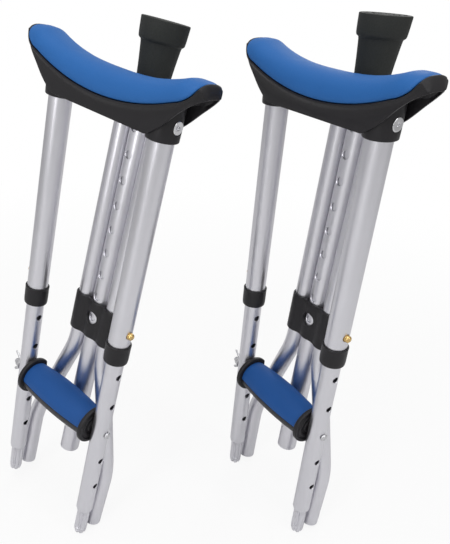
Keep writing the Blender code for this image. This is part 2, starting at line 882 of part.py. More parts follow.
def leg_tube(name, parent):
    made = tube_between(THIN_RADIUS, THIN_BORE, LEG_BOTTOM, LEG_TOP, name)
    place(made, parent, (0, centre_y(), 0))
    start = (0, 0, LEG_BUTTON)
    end = (0, -THIN_RADIUS * 1.5, LEG_BUTTON)
    hole = rods_tool(name, [(BUTTON_RADIUS + HOLE_PLAY, start, end)])
    place(hole, parent, (0, centre_y(), 0))
    combine(made, hole)


def bow_bracket(name, parent):
    # A moulded band round the centre tube and both bows, its faces following the three tubes
    top = BRACKET_BOTTOM + BRACKET_HEIGHT
    spots = [(0, centre_y(), UPPER_RADIUS)]
    for side in (-1, 1):
        spots.append((side * NARROW, FOLD_OFFSET, THIN_RADIUS))
    lobes = []
    for x, y, radius in spots:
        shape = bmesh.new()
        add_rod(shape, radius + GAP + BRACKET_WALL, (x, y, BRACKET_BOTTOM), (x, y, top), 16)
        lobes.append(bmesh_to_mesh(name, shape))
    made = part(name, lobes[0], "black_plastic")
    place(made, parent)
    lobes_joined = [tool(name + "_lobe", mesh) for mesh in lobes[1:]]
    web_size = (2 * NARROW, FOLD_OFFSET, BRACKET_HEIGHT)
    web_y = BRACKET_FACE + FOLD_OFFSET / 2
    lobes_joined.append(box_tool(name + "_web", web_size, (0, web_y, rivet_height())))
    for lobe in lobes_joined:
        place(lobe, parent)
        combine(made, lobe, "UNION")
    for x, y, radius in spots:
        start = (x, y, BRACKET_BOTTOM - 5 * MM)
        bore = rods_tool(name + "_bore", [(radius + GAP, start, (x, y, top + 5 * MM))], 16)
        place(bore, parent)
        combine(made, bore)
    window_z = LEG_HOLE_TOP - LEG_HOLE_PITCH * (LEG_HOLES - 1)
    rods = [(WINDOW_RADIUS, (0, 0, window_z), (0, -UPPER_RADIUS * 2, window_z))]
    back = FOLD_OFFSET + THIN_TUBE
    for side in (-1, 1):
        x = side * NARROW
        start = (x, FOLD_OFFSET, rivet_height())
        rods.append((RIVET_RADIUS + HOLE_PLAY, start, (x, back, rivet_height())))
    holes = rods_tool(name + "_holes", rods)
    place(holes, parent)
    combine(made, holes)


def bracket_rivet(name, side, parent):
    seat = THIN_RADIUS + GAP + BRACKET_WALL + GAP
    profile = [
        (0, seat + 1.3 * MM),
        (RIVET_HEAD * 0.6, seat + 1.1 * MM),
        (RIVET_HEAD, seat + 0.3 * MM),
        (RIVET_HEAD, seat),
        (RIVET_RADIUS, seat),
        (RIVET_RADIUS, THIN_BORE - 2.5 * MM),
        (0, THIN_BORE - 2.5 * MM),
    ]
    made = turned(name, profile, "zinc", closed=False, steps=10)
    place(made, parent, (side * NARROW, FOLD_OFFSET, rivet_height()), (-math.pi / 2, 0, 0))


def rubber_tip(name, parent):
    bore = THIN_RADIUS + GAP
    floor = LEG_TOP + GAP + TIP_WASHER + GAP
    top = floor + TIP_SOLE
    edge = 1.2 * MM
    profile = [
        (0, top),
        (TIP_RADIUS - edge, top),
        (TIP_RADIUS, top - edge),
        (TIP_RADIUS * 0.955, TIP_STEP + 1.5 * MM),
        (TIP_RADIUS * 0.93, TIP_STEP),
        (TIP_NECK + 2.6 * MM, TIP_STEP - 1.5 * MM),
        (TIP_NECK, TIP_BOTTOM + edge),
        (TIP_NECK - edge, TIP_BOTTOM),
        (bore, TIP_BOTTOM),
        (bore, floor),
        (0, floor),
    ]
    made = turned(name, profile, "black_rubber", closed=False)
    place(made, parent, (0, centre_y(), 0))


def tip_washer(name, parent):
    low = LEG_TOP + GAP
    radius = THIN_RADIUS - GAP
    profile = [(0, low + TIP_WASHER), (radius, low + TIP_WASHER), (radius, low), (0, low)]
    made = turned(name, profile, "zinc", closed=False)
    place(made, parent, (0, centre_y(), 0))


def upper_frame(prefix, parent):
    saddle_shell(prefix + "saddle_shell", parent)
    underarm_pad(prefix + "underarm_pad", parent)
    for word, side in (("front_", 1), ("rear_", -1)):
        saddle_screw(prefix + word + "saddle_screw", side, parent)
        upper_tube(prefix + word + "upper_tube", side, parent)
        collar(prefix + word + "collar", side, parent)


def mid_frame(prefix, parent):
    frame = empty(prefix + "mid_frame", parent)
    for word, side in (("front_", 1), ("rear_", -1)):
        lower_tube(prefix + word + "lower_tube", side, frame)
        turn = math.pi if side < 0 else 0
        snap_button(
            prefix + word + "snap_button",
            prefix + word + "button_spring",
            UPPER_RADIUS,
            "brass",
            (frame, frame),
            (upright_x(side), 0, BUTTON_Z),
            facing(side),
            (0, 0, turn),
        )
    grip_core(prefix + "grip_core", frame)
    grip_sleeve(prefix + "grip_sleeve", frame)
    grip_bolt(prefix + "grip_bolt", frame)
    grip_washer(prefix + "grip_washer", frame)
    wing_nut(prefix + "wing_nut", frame)


def lower_frame(prefix, parent):
    frame = empty(prefix + "lower_frame", parent, (0, FOLD_OFFSET, FOLD_HEIGHT))
    frame.rotation_euler = (-FOLD_LEAN, 0, 0)
    for word, side in (("front_", 1), ("rear_", -1)):
        bow_tube(prefix + word + "bow_tube", side, frame)
        bracket_rivet(prefix + word + "bracket_rivet", side, frame)
    centre_tube(prefix + "centre_tube", frame)
    bow_bracket(prefix + "bow_bracket", frame)
    leg = empty(prefix + "leg", frame)
    leg_tube(prefix + "leg_tube", leg)
    snap_button(
        prefix + "leg_snap_button",
        prefix + "leg_button_spring",
        UPPER_RADIUS,
        "chrome",
        (leg, leg),
        (0, centre_y(), LEG_BUTTON),
        (math.pi / 2, 0, 0),
        (0, 0, -math.pi / 2),
    )
    rubber_tip(prefix + "rubber_tip", leg)
    tip_washer(prefix + "tip_washer", leg)


def crutch(prefix, place_at, turn, lean):
    # Stands turned about its own height, then leaning over in the lean direction
    made = empty(prefix + "crutch", None, place_at)
    across = (-math.sin(LEAN_DIRECTION), math.cos(LEAN_DIRECTION), 0)
    made.rotation_mode = "QUATERNION"
    made.rotation_quaternion = Quaternion(across, lean) @ Quaternion((0, 0, 1), turn)
    upper_frame(prefix, made)
    mid_frame(prefix, made)
    lower_frame(prefix, made)
    return made


def corners(prefix):
    # The lowest and highest corner of one crutch, or of both with an empty prefix
    graph = bpy.context.evaluated_depsgraph_get()
    points = []
    for obj in PARTS.objects:
        if obj.type == "MESH" and obj.name.startswith(prefix):
            seen = obj.evaluated_get(graph)
            for vert in seen.data.vertices:
                points.append(seen.matrix_world @ vert.co)
    low = Vector(min(p[i] for p in points) for i in range(3))
    high = Vector(max(p[i] for p in points) for i in range(3))
    return low, high


def stand(crutches):
    # Both crutches touch the floor, and the pair is centred on the origin
    for prefix, made in crutches.items():
        made.location.z -= corners(prefix)[0].z
    bpy.context.view_layer.update()
    low, high = corners("")
    for made in crutches.values():
        made.location.x -= (low.x + high.x) / 2
        made.location.y -= (low.y + high.y) / 2
    bpy.context.view_layer.update()


clear_scene()
PARTS = collection("crutch_pair")
CUTTERS = collection("cutters")
right_place = (
    PAIR_DISTANCE * math.cos(PAIR_DIRECTION),
    PAIR_DISTANCE * math.sin(PAIR_DIRECTION),
    0,
)
pair = {
    "left_": crutch("left_", (0, 0, 0), TURN, LEFT_LEAN),
    "right_": crutch("right_", right_place, -TURN, 0),
}
stand(pair)
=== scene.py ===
import json
import math

import bmesh
import bpy
from mathutils import Matrix, Vector


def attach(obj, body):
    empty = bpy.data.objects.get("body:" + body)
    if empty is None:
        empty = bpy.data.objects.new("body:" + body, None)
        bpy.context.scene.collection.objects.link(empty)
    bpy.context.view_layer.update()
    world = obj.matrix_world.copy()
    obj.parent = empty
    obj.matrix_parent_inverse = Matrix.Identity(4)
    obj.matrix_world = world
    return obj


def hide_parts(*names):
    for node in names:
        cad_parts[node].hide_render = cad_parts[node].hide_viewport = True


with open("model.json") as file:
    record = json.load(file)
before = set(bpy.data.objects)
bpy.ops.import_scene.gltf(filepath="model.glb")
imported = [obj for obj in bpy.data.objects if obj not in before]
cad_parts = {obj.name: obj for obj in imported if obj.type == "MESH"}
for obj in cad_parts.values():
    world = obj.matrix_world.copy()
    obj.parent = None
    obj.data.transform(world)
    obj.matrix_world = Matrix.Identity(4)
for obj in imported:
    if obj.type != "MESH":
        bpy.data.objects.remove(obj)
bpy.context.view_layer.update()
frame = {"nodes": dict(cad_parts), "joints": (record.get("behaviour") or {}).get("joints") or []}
print("frame loaded:", len(frame["nodes"]), "nodes")

mm = 0.001  # sizes below are in millimetres unless they say otherwise
fit = 0.3  # space left between pieces that are pushed together
quarter = math.pi / 2  # a quarter turn

# The camera, solved from the edges of the crutches in the photo
lens = {
    "place": (378.42, -353.9, 600.7),
    "yaw": 39.513,  # degrees
    "pitch": 31.578,
    "roll": 1.254,
    "focal": 590.95,  # in pixels of the picture
    "axisAt": (159.74, 303.49),  # where the lens axis meets the picture
    "picture": (450, 544),
    "sensor": 36,
    "nearest": 0.01,  # metres
}


def addCamera(settings):
    yaw = math.radians(settings["yaw"])
    pitch = math.radians(settings["pitch"])
    roll = math.radians(settings["roll"])
    forward = Vector((
        -math.cos(yaw) * math.cos(pitch),
        math.sin(yaw) * math.cos(pitch),
        -math.sin(pitch),
    ))
    level = Vector((math.sin(yaw), math.cos(yaw), 0))
    down = forward.cross(level)
    right = level * math.cos(roll) - down * math.sin(roll)
    down = level * math.sin(roll) + down * math.cos(roll)
    wide, tall = settings["picture"]
    data = bpy.data.cameras.new("camera")
    data.sensor_width = settings["sensor"]
    data.lens = settings["focal"] / tall * settings["sensor"]
    data.shift_x = (wide / 2 - settings["axisAt"][0]) / tall
    data.shift_y = (settings["axisAt"][1] - tall / 2) / tall
    data.clip_start = settings["nearest"]
    camera = bpy.data.objects.new("camera", data)
    bpy.context.scene.collection.objects.link(camera)
    turn = Matrix((right, -down, -forward)).transposed().to_4x4()
    camera.matrix_world = Matrix.Translation(Vector(settings["place"]) * mm) @ turn
    bpy.context.scene.camera = camera


addCamera(lens)
print("camera placed")

studio = {
    "floorColour": (0.9, 0.9, 0.9, 1),
    "floorRough": 0.9,
    "floorHalf": 6,  # metres
    "floorDrop": 0.3,
    "floorGlow": 0.88,  # how much of the floor near the crutches looks plain white
    "fade": (0.35, 1.2),  # metres from the middle over which the rest turns white too
    "roomLight": 0.42,
    "mirrored": 0.83,  # the room as the metal mirrors it
    "dips": {
        # name: (the way it lies in degrees, how much darker, how wide)
        "rightDip": (62, 0.42, 0.55),
        "leftDip": (-158, 0.26, 0.5),
    },
    "lamps": {
        # name: (place in metres, aim in metres, width, height, watts)
        "keyBox": ((0.34, -1.5, 1.1), (0, 0, 0.3), 0.42, 1.5, 8),
        "sideBox": ((1.35, 0.35, 1.2), (0, 0, 0.25), 0.3, 1.4, 3.5),
        "topBox": ((0.1, -0.2, 1.7), (0, 0, 0.2), 0.9, 0.9, 7),
        "backBox": ((-0.7, 1.4, 1.2), (0, 0, 0.3), 0.4, 1.4, 4),
    },
}


def newMaterial(name):
    made = bpy.data.materials.new(name)
    made.use_nodes = True
    return made, made.node_tree, made.node_tree.nodes["Principled BSDF"]


def addNode(tree, kind, inputs=(), **values):
    made = tree.nodes.new(kind)
    for key, value in values.items():
        setattr(made, key, value)
    for socket, value in dict(inputs).items():
        if isinstance(value, bpy.types.NodeSocket):
            tree.links.new(value, made.inputs[socket])
        else:
            made.inputs[socket].default_value = value
    return made


def mathOf(tree, operation, first, second):
    made = addNode(tree, "ShaderNodeMath", {0: first, 1: second}, operation=operation)
    return made.outputs[0]


def mixed(tree, factor, first, second):
    inputs = {"Factor": factor, 2: first, 3: second}
    return addNode(tree, "ShaderNodeMix", inputs, data_type="FLOAT").outputs[0]


def ranged(tree, value, source, target, kind="LINEAR"):
    inputs = {
        "Value": value,
        "From Min": source[0],
        "From Max": source[1],
        "To Min": target[0],
        "To Max": target[1],
    }
    return addNode(tree, "ShaderNodeMapRange", inputs, interpolation_type=kind).outputs[0]


def sees(tree, rays):
    # 1 for the kinds of ray that are named, else 0
    path = addNode(tree, "ShaderNodeLightPath")
    total = path.outputs[rays[0]]
    for ray in rays[1:]:
        total = mathOf(tree, "MAXIMUM", total, path.outputs[ray])
    return total


def buildRoom(settings):
    world = bpy.data.worlds.new("whiteRoom")
    bpy.context.scene.world = world
    world.use_nodes = True
    tree = world.node_tree
    coords = addNode(tree, "ShaderNodeTexCoord")
    shade = settings["mirrored"]
    for turn, depth, width in settings["dips"].values():
        turn = math.radians(turn)
        towards = addNode(
            tree,
            "ShaderNodeVectorMath",
            {0: coords.outputs["Generated"], 1: (math.cos(turn), math.sin(turn), 0)},
            operation="DOT_PRODUCT",
        )
        dip = ranged(tree, towards.outputs["Value"], (1 - width, 1.0), (0.0, depth), "SMOOTHSTEP")
        shade = mathOf(tree, "SUBTRACT", shade, dip)
    level = mixed(tree, sees(tree, ["Is Glossy Ray"]), settings["roomLight"], shade)
    white = sees(tree, ["Is Camera Ray", "Is Transmission Ray"])
    glow = tree.nodes["Background"]
    glow.inputs["Color"].default_value = (1, 1, 1, 1)
    tree.links.new(mixed(tree, white, level, 1.0), glow.inputs["Strength"])


def buildFloor(settings):
    half = settings["floorHalf"]
    corners = [(-half, -half, 0), (half, -half, 0), (half, half, 0), (-half, half, 0)]
    mesh = bpy.data.meshes.new("floor")
    mesh.from_pydata(corners, [], [(0, 1, 2, 3)])
    floor = bpy.data.objects.new("floor", mesh)
    bpy.context.scene.collection.objects.link(floor)
    floor.location.z = -settings["floorDrop"] * mm
    made, tree, shader = newMaterial("paleFloor")
    shader.inputs["Base Color"].default_value = settings["floorColour"]
    shader.inputs["Roughness"].default_value = settings["floorRough"]
    white = addNode(tree, "ShaderNodeEmission", {"Color": (1, 1, 1, 1), "Strength": 1.0})
    coords = addNode(tree, "ShaderNodeTexCoord")
    away = addNode(
        tree, "ShaderNodeVectorMath", {0: coords.outputs["Object"]}, operation="LENGTH"
    )
    target = (settings["floorGlow"], 1.0)
    glow = ranged(tree, away.outputs["Value"], settings["fade"], target, "SMOOTHSTEP")
    part = mathOf(tree, "MULTIPLY", sees(tree, ["Is Camera Ray", "Is Transmission Ray"]), glow)
    both = addNode(
        tree, "ShaderNodeMixShader", {0: part, 1: shader.outputs[0], 2: white.outputs[0]}
    )
    tree.links.new(both.outputs[0], tree.nodes["Material Output"].inputs["Surface"])
    mesh.materials.append(made)


def addLamps(settings):
    for name, (place, aim, wide, tall, watts) in settings["lamps"].items():
        data = bpy.data.lights.new(name, "AREA")
        data.shape = "RECTANGLE"
        data.size = wide
        data.size_y = tall
        data.energy = watts
        lamp = bpy.data.objects.new(name, data)
        bpy.context.scene.collection.objects.link(lamp)
        lamp.location = place
        towards = Vector(aim) - Vector(place)
        lamp.rotation_euler = towards.to_track_quat("-Z", "Y").to_euler()


buildRoom(studio)
buildFloor(studio)
addLamps(studio)
bpy.context.scene.view_settings.view_transform = "Standard"
print("studio ready")

finishes = {
    # name: (colour, metal, roughness from and to, the grain's fineness along each way,
    #        its depth, how much the colour drifts)
    "satin_aluminium": ((0.7, 0.695, 0.735), 1, (0.3, 0.36), (520, 520, 14), 0.006, 0.03),
    "chrome": ((0.72, 0.72, 0.74), 1, (0.08, 0.16), (300, 300, 300), 0.01, 0.04),
    "brass": ((0.68, 0.47, 0.19), 1, (0.16, 0.3), (500, 500, 500), 0.03, 0.1),
    "zinc": ((0.6, 0.6, 0.62), 1, (0.22, 0.4), (450, 450, 450), 0.05, 0.08),
    "spring_steel": ((0.36, 0.37, 0.4), 1, (0.25, 0.4), (500, 500, 40), 0.03, 0.1),
    "black_plastic": ((0.0145, 0.0135, 0.0155), 0, (0.36, 0.5), (900, 900, 900), 0.06, 0.1),
    "blue_pad": ((0.019, 0.128, 0.4), 0, (0.55, 0.7), (1100, 1100, 1100), 0.12, 0.05),
    "blue_grip": ((0.01, 0.082, 0.3), 0, (0.55, 0.7), (1300, 1300, 1300), 0.16, 0.05),
    "black_rubber": ((0.022, 0.0235, 0.0215), 0, (0.6, 0.8), (800, 800, 800), 0.12, 0.12),
}
grainLook = {
    "detail": 3.0,
    "spread": (0.3, 0.7),  # the noise's range that becomes smooth to rough
    "depth": 0.0004,  # metres
    "drift": {"Scale": 38.0, "Detail": 4.0, "Roughness": 0.55},
    "dullShine": 0.3,  # specular level of what isn't metal
}


def buildFinish(slot, look):
    # Fine grain in the roughness and the surface, and a slow change of colour over it
    colour, metal, rough, fineness, depth, drift = look
    made, tree, shader = newMaterial(slot)
    coords = addNode(tree, "ShaderNodeTexCoord").outputs["Object"]
    drawn = addNode(tree, "ShaderNodeMapping", {"Vector": coords, "Scale": fineness})
    grain = addNode(
        tree,
        "ShaderNodeTexNoise",
        {"Vector": drawn.outputs[0], "Scale": 1.0, "Detail": grainLook["detail"]},
    ).outputs["Fac"]
    slow = addNode(tree, "ShaderNodeTexNoise", {"Vector": coords, **grainLook["drift"]})
    dim = tuple(c * (1 - drift) for c in colour) + (1,)
    bright = tuple(min(1, c * (1 + drift)) for c in colour) + (1,)
    tint = addNode(
        tree,
        "ShaderNodeMix",
        {"Factor": slow.outputs["Fac"], 6: dim, 7: bright},
        data_type="RGBA",
    )
    bump = addNode(
        tree,
        "ShaderNodeBump",
        {"Strength": depth, "Distance": grainLook["depth"], "Height": grain},
    )
    shader.inputs["Metallic"].default_value = metal
    if not metal:
        shader.inputs["Specular IOR Level"].default_value = grainLook["dullShine"]
    tree.links.new(tint.outputs[2], shader.inputs["Base Color"])
    worn = ranged(tree, grain, grainLook["spread"], rough)
    tree.links.new(worn, shader.inputs["Roughness"])
    tree.links.new(bump.outputs[0], shader.inputs["Normal"])
    return made


materials = {slot: buildFinish(slot, look) for slot, look in finishes.items()}
print("finishes ready:", len(materials))

hinge = {"behind": 9.76, "up": 1.56}  # the fold's axle in the crutch's own frame


def jointCalled(name):
    return next(joint for joint in frame["joints"] if joint["name"] == name)


def framesOf(side):
    # Where the upper and the lower half of a crutch stand, from its joints
    fold = jointCalled(side + "lower_frame_fold")
    across = Vector(fold["axis"]).normalized()
    axle = Vector(fold["pos_m"])
    found = {}
    for word, up in (
        ("upper", -Vector(jointCalled(side + "frame_slide")["axis"])),
        ("lower", Vector(jointCalled(side + "leg_slide")["axis"])),
    ):
        up = up.normalized()
        found[word] = Matrix((across, up.cross(across), up)).transposed().to_4x4()
    offset = Vector((0, hinge["behind"], hinge["up"])) * mm
    found["upper"].translation = axle - found["upper"].to_3x3() @ offset
    found["lower"].translation = axle
    return found


places = {side: framesOf(side) for side in ("left_", "right_")}
ends = (("front_", 1), ("rear_", -1))


def at(x, y, z):
    return Matrix.Translation((x * mm, y * mm, z * mm))


def outward(way):
    # Lays a turned piece's Z along the crutch's X, to the front or to the rear
    return Matrix.Rotation(way * quarter, 4, "Y")


def softened(outline, steps=4, loop=True):
    # Points are (radius, height) or (radius, height, rounding)
    made = []
    count = len(outline)
    for i, point in enumerate(outline):
        corner = Vector(point[:2])
        rounding = point[2] if len(point) > 2 else 0
        atEnd = not loop and i in (0, count - 1)
        if not rounding or atEnd:
            made.append(tuple(corner))
            continue
        before = Vector(outline[i - 1][:2]) - corner
        after = Vector(outline[(i + 1) % count][:2]) - corner
        start = corner + before.normalized() * min(rounding, before.length * 0.49)
        end = corner + after.normalized() * min(rounding, after.length * 0.49)
        for step in range(steps + 1):
            t = step / steps
            spot = start * (1 - t) ** 2 + corner * 2 * t * (1 - t) + end * t**2
            made.append(tuple(spot))
    return made


def cleanMesh(points, faces, weld=0.002):
    mesh = bpy.data.meshes.new("shape")
    mesh.from_pydata([tuple(c * mm for c in point) for point in points], [], faces)
    shape = bmesh.new()
    shape.from_mesh(mesh)
    bmesh.ops.remove_doubles(shape, verts=shape.verts, dist=weld * mm)
    bmesh.ops.recalc_face_normals(shape, faces=shape.faces)
    shape.to_mesh(mesh)
    shape.free()
    return mesh


def quadRows(rows, count, wrap=False):
    # Faces between rows of points, where each row is a closed loop
    faces = []
    for row in range(rows if wrap else rows - 1):
        a = row * count
        b = (row + 1) % rows * count
        for i in range(count):
            j = (i + 1) % count
            faces.append((a + i, a + j, b + j, b + i))
    return faces


def lofted(loops, wrap=False):
    # A skin over closed loops of points, capped at both ends or run back into the first
    count = len(loops[0])
    points = [point for loop in loops for point in loop]
    faces = quadRows(len(loops), count, wrap)
    if not wrap:
        faces += [tuple(range(count)), tuple(range(len(points) - count, len(points)))]
    return cleanMesh(points, faces)


def turnedMesh(outline, segments=64, loop=True, swell=None):
    # Spins a (radius, height) outline round Z; swell may change the radius at an angle
    points = []
    rings = []
    faces = []
    for radius, height in outline:
        if radius < 1e-6:
            rings.append([len(points)] * segments)
            points.append((0, 0, height))
            continue
        rings.append(list(range(len(points), len(points) + segments)))
        for i in range(segments):
            angle = math.tau * i / segments
            size = radius + (swell(angle, radius, height) if swell else 0)
            points.append((size * math.cos(angle), size * math.sin(angle), height))
    pairs = list(zip(rings, rings[1:]))
    if loop:
        pairs.append((rings[-1], rings[0]))
    for low, high in pairs:
        for i in range(segments):
            j = (i + 1) % segments
            corners = []
            for vert in (low[i], low[j], high[j], high[i]):
                if vert not in corners:
                    corners.append(vert)
            if len(corners) > 2:
                faces.append(corners)
    return cleanMesh(points, faces)


def ringMesh(outline, segments):
    # A turned piece with a hole through it
    return turnedMesh(softened(outline), segments)


def solidMesh(outline, segments, steps=4, swell=None):
    # A turned piece whose outline starts and ends on its axis
    return turnedMesh(softened(outline, steps, False), segments, False, swell)


def joined(meshes):
    shape = bmesh.new()
    for mesh in meshes:
        shape.from_mesh(mesh)
    made = bpy.data.meshes.new("shape")
    shape.to_mesh(made)
    shape.free()
    return made


def moved(mesh, matrix):
    mesh.transform(matrix)
    return mesh


def shaped(mesh, tools, operation="DIFFERENCE"):
    # Cuts the tools out of the mesh, or joins them to it, one after the other
    scene = bpy.context.scene
    holder = bpy.data.objects.new("holder", mesh)
    scene.collection.objects.link(holder)
    helpers = []
    for toolMesh in tools:
        helper = bpy.data.objects.new("helper", toolMesh)
        scene.collection.objects.link(helper)
        helpers.append(helper)
        modifier = holder.modifiers.new("shaping", "BOOLEAN")
        modifier.operation = operation
        modifier.solver = "EXACT"
        modifier.object = helper
    graph = bpy.context.evaluated_depsgraph_get()
    made = bpy.data.meshes.new_from_object(holder.evaluated_get(graph))
    for obj in [holder] + helpers:
        bpy.data.objects.remove(obj, do_unlink=True)
    return made


def holeTool(radius, surface, height, angle, rim=0.35, steps=36):
    # A hole from the outside of a tube of that radius, with a small even chamfer at its rim
    rings = (
        (radius, lambda y: surface * 0.3),
        (radius, lambda y: math.sqrt(surface**2 - y**2) - rim),
        (radius + rim, lambda y: math.sqrt(surface**2 - y**2) + 0.02),
        (radius + rim, lambda y: surface + 4),
    )
    turns = [math.tau * i / steps for i in range(steps)]
    loops = []
    for size, depth in rings:
        loops.append([
            (depth(size * math.sin(t)), size * math.sin(t), size * math.cos(t)) for t in turns
        ])
    return moved(lofted(loops), at(0, 0, height) @ Matrix.Rotation(angle, 4, "Z"))


def drilled(mesh, surface, holes):
    # holes are (height, angle, radius)
    tools = [holeTool(radius, surface, height, angle) for height, angle, radius in holes]
    return shaped(mesh, [joined(tools)])


def tubeMesh(outer, bore, bottom, top, holes, rounding=0.35, segments=72):
    # Rings beside each hole and along the plain stretches keep the shading even
    beside, stretch, clear, margin = 1.2, 24, 3, 2
    heights = set()
    for height, angle, radius in holes:
        heights.update((height - radius - beside, height, height + radius + beside))
    level = bottom + stretch
    while level < top - stretch / 2:
        if all(abs(level - other) > clear for other in heights):
            heights.add(level)
        level += stretch
    inside = sorted(h for h in heights if bottom + margin < h < top - margin)
    outline = [(bore, top, rounding), (outer, top, rounding)]
    outline += [(outer, h) for h in reversed(inside)]
    outline += [(outer, bottom, rounding), (bore, bottom, rounding)]
    outline += [(bore, h) for h in inside]
    return drilled(ringMesh(outline, segments), outer, holes)


def addPiece(node, mesh, matrix, body, slot, sharp=32):
    # The dressed piece that stands for a CAD node
    piece = bpy.data.objects.new(node + "_dressed", mesh)
    bpy.context.scene.collection.objects.link(piece)
    piece.matrix_world = matrix
    mesh.materials.clear()
    mesh.materials.append(materials[slot])
    mesh.shade_smooth()
    mesh.set_sharp_from_angle(angle=math.radians(sharp))
    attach(piece, body)
    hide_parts(node)
    return piece


uprights = {
    "x": 63,
    "outer": 11.1,
    "outerBore": 9.875,
    "inner": 9.525,
    "innerBore": 8.3,
    "upperTop": 493,
    "lowerTop": 345,
    "buttonHeight": 285.7,
    "holeRadius": 3.9,
    "screwHeight": 484.8,
    "screwHole": 2.3,
    "gripHeight": 158,
    "gripPitch": 38.1,
    "boltHole": 3.3,
    "plainRings": (254, 270, 305, 325),  # heights of rings that keep the shading even
    "spigotLength": 36,
    "spigotRadius": 7.3,
    "spigotRings": (
        # (how far in, height)
        (0, 11), (0.5, 10.4), (0.5, 9.6), (0, 9), (0, 6.8), (0.5, 6.2), (0.5, 5.4),
        (0.15, 4.8), (0.5, 2.6),
    ),
    "spigotNose": ((0.86, 1.2), (0.66, 0.3), (0.4, 0)),  # (share of its radius, height)
    "shoulder": 3,
    "shoulderRings": (16, 9, 7, 5, 3, 1.4),  # above the shoulder
    "crimps": 6,
    "crimpDepth": 1.5,
    "pointDepth": 0.9,
    "pointRun": 7,
}
collar = {
    "bottom": 250.8,
    "height": 20.8,
    "outer": 12.9,
    "waist": 12.65,
    "foot": 12.2,
    "seat": 11.4,
    "lip": 2,
    "guide": 9.875,
}
button = {
    "radius": 3.6,
    "proud": 4.2,
    "skirt": 4.68,
    "seated": 0.95,  # how near the tube's bore the skirt comes
    "flange": 1.2,
    "bore": 8.3,
}


def uprightPlace(side, way, height=0):
    return places[side]["upper"] @ at(way * uprights["x"], 0, height)


def facing(way):
    return 0 if way > 0 else math.pi


def upperTube(side, word, way):
    size = uprights
    holes = [
        (size["buttonHeight"], facing(way), size["holeRadius"]),
        (size["screwHeight"], facing(way), size["screwHole"]),
    ]
    bottom = collar["bottom"] + collar["lip"] + fit
    mesh = tubeMesh(size["outer"], size["outerBore"], bottom, size["upperTop"], holes)
    name = side + word + "upper_tube"
    addPiece(name, mesh, uprightPlace(side, way), side + "upper_frame", "satin_aluminium")


def guideCollar(side, word, way):
    size = collar
    bottom = size["bottom"]
    top = bottom + size["height"]
    mesh = ringMesh([
        (size["seat"], top, 0.5),
        (size["outer"], top, 0.9),
        (size["waist"], top - 2.4, 1),
        (size["waist"], bottom + 4, 2),
        (size["foot"], bottom, 1.1),
        (size["guide"], bottom, 0.5),
        (size["guide"], bottom + size["lip"], 0.3),
        (size["seat"], bottom + size["lip"]),
    ], 72)
    name = side + word + "collar"
    addPiece(name, mesh, uprightPlace(side, way), side + "upper_frame", "black_plastic")


def crimped(angle, radius, height):
    # Grooves pressed into the spigot, running out in points at the shoulder
    size = uprights
    top = size["spigotLength"] + size["shoulder"]
    if height > top + size["pointRun"] or radius < size["spigotRadius"] * 0.4:
        return 0
    wave = max(0, math.cos(size["crimps"] * angle))
    if height > top - 1:
        fade = 1 - (height - top + 1) / (size["pointRun"] + 1)
        return -size["pointDepth"] * fade * wave**3
    return -size["crimpDepth"] * wave**0.8 * min(1, radius / size["spigotRadius"])


def lowerTube(side, word, way):
    size = uprights
    neck = size["spigotLength"]
    shoulder = neck + size["shoulder"]
    heights = set(size["plainRings"])
    holes = []
    for step in range(-2, 3):
        height = size["gripHeight"] + step * size["gripPitch"]
        holes += [(height, turn, size["boltHole"]) for turn in (0, math.pi)]
        heights.update((height - 4.5, height, height + 4.5))
    holes.append((size["buttonHeight"], facing(way), size["holeRadius"]))
    heights.update((size["buttonHeight"] - 5, size["buttonHeight"], size["buttonHeight"] + 5))
    rings = sorted(heights)
    outer, bore, thin = size["inner"], size["innerBore"], size["spigotRadius"]
    outline = [(0, shoulder + 1.2), (bore, shoulder + 1.2)]
    outline += [(bore, h) for h in rings]
    outline += [(bore, size["lowerTop"], 0.3), (outer, size["lowerTop"], 0.3)]
    outline += [(outer, h) for h in reversed(rings)]
    outline += [(outer, shoulder + away) for away in size["shoulderRings"]]
    outline += [(outer - 0.5, shoulder - 0.3), (thin + 0.8, neck + 0.8), (thin, neck - 0.6)]
    outline += [(thin, neck * share) for share in (0.8, 0.6, 0.42)]
    outline += [(thin - depth, height) for depth, height in size["spigotRings"]]
    outline += [(thin * share, height) for share, height in size["spigotNose"]] + [(0, 0)]
    mesh = drilled(solidMesh(outline, 96, 3, crimped), outer, holes)
    name = side + word + "lower_tube"
    addPiece(name, mesh, uprightPlace(side, way), side + "mid_frame", "satin_aluminium")


def snapButton(side, word, place, body, tube, slot):
    size = button
    seat = math.sqrt(size["bore"] ** 2 - size["skirt"] ** 2) * size["seated"]
    top = tube + size["proud"]
    r = size["radius"]
    mesh = solidMesh([
        (0, top - 0.35),
        (r * 0.34, top - 0.35, 0.3),
        (r * 0.5, top, 0.5),
        (r * 0.87, top - 0.9, 0.8),
        (r, top - 2.2, 0.8),
        (r, seat),
        (size["skirt"], seat, 0.2),
        (size["skirt"], seat - size["flange"], 0.2),
        (0, seat - size["flange"]),
    ], 48)
    addPiece(side + word + "snap_button", mesh, place, body, slot)


for side in places:
    for word, way in ends:
        upperTube(side, word, way)
        guideCollar(side, word, way)
        lowerTube(side, word, way)
        place = uprightPlace(side, way, uprights["buttonHeight"]) @ outward(way)
        snapButton(side, word, place, side + word + "button", uprights["outer"], "brass")
print("uprights ready")

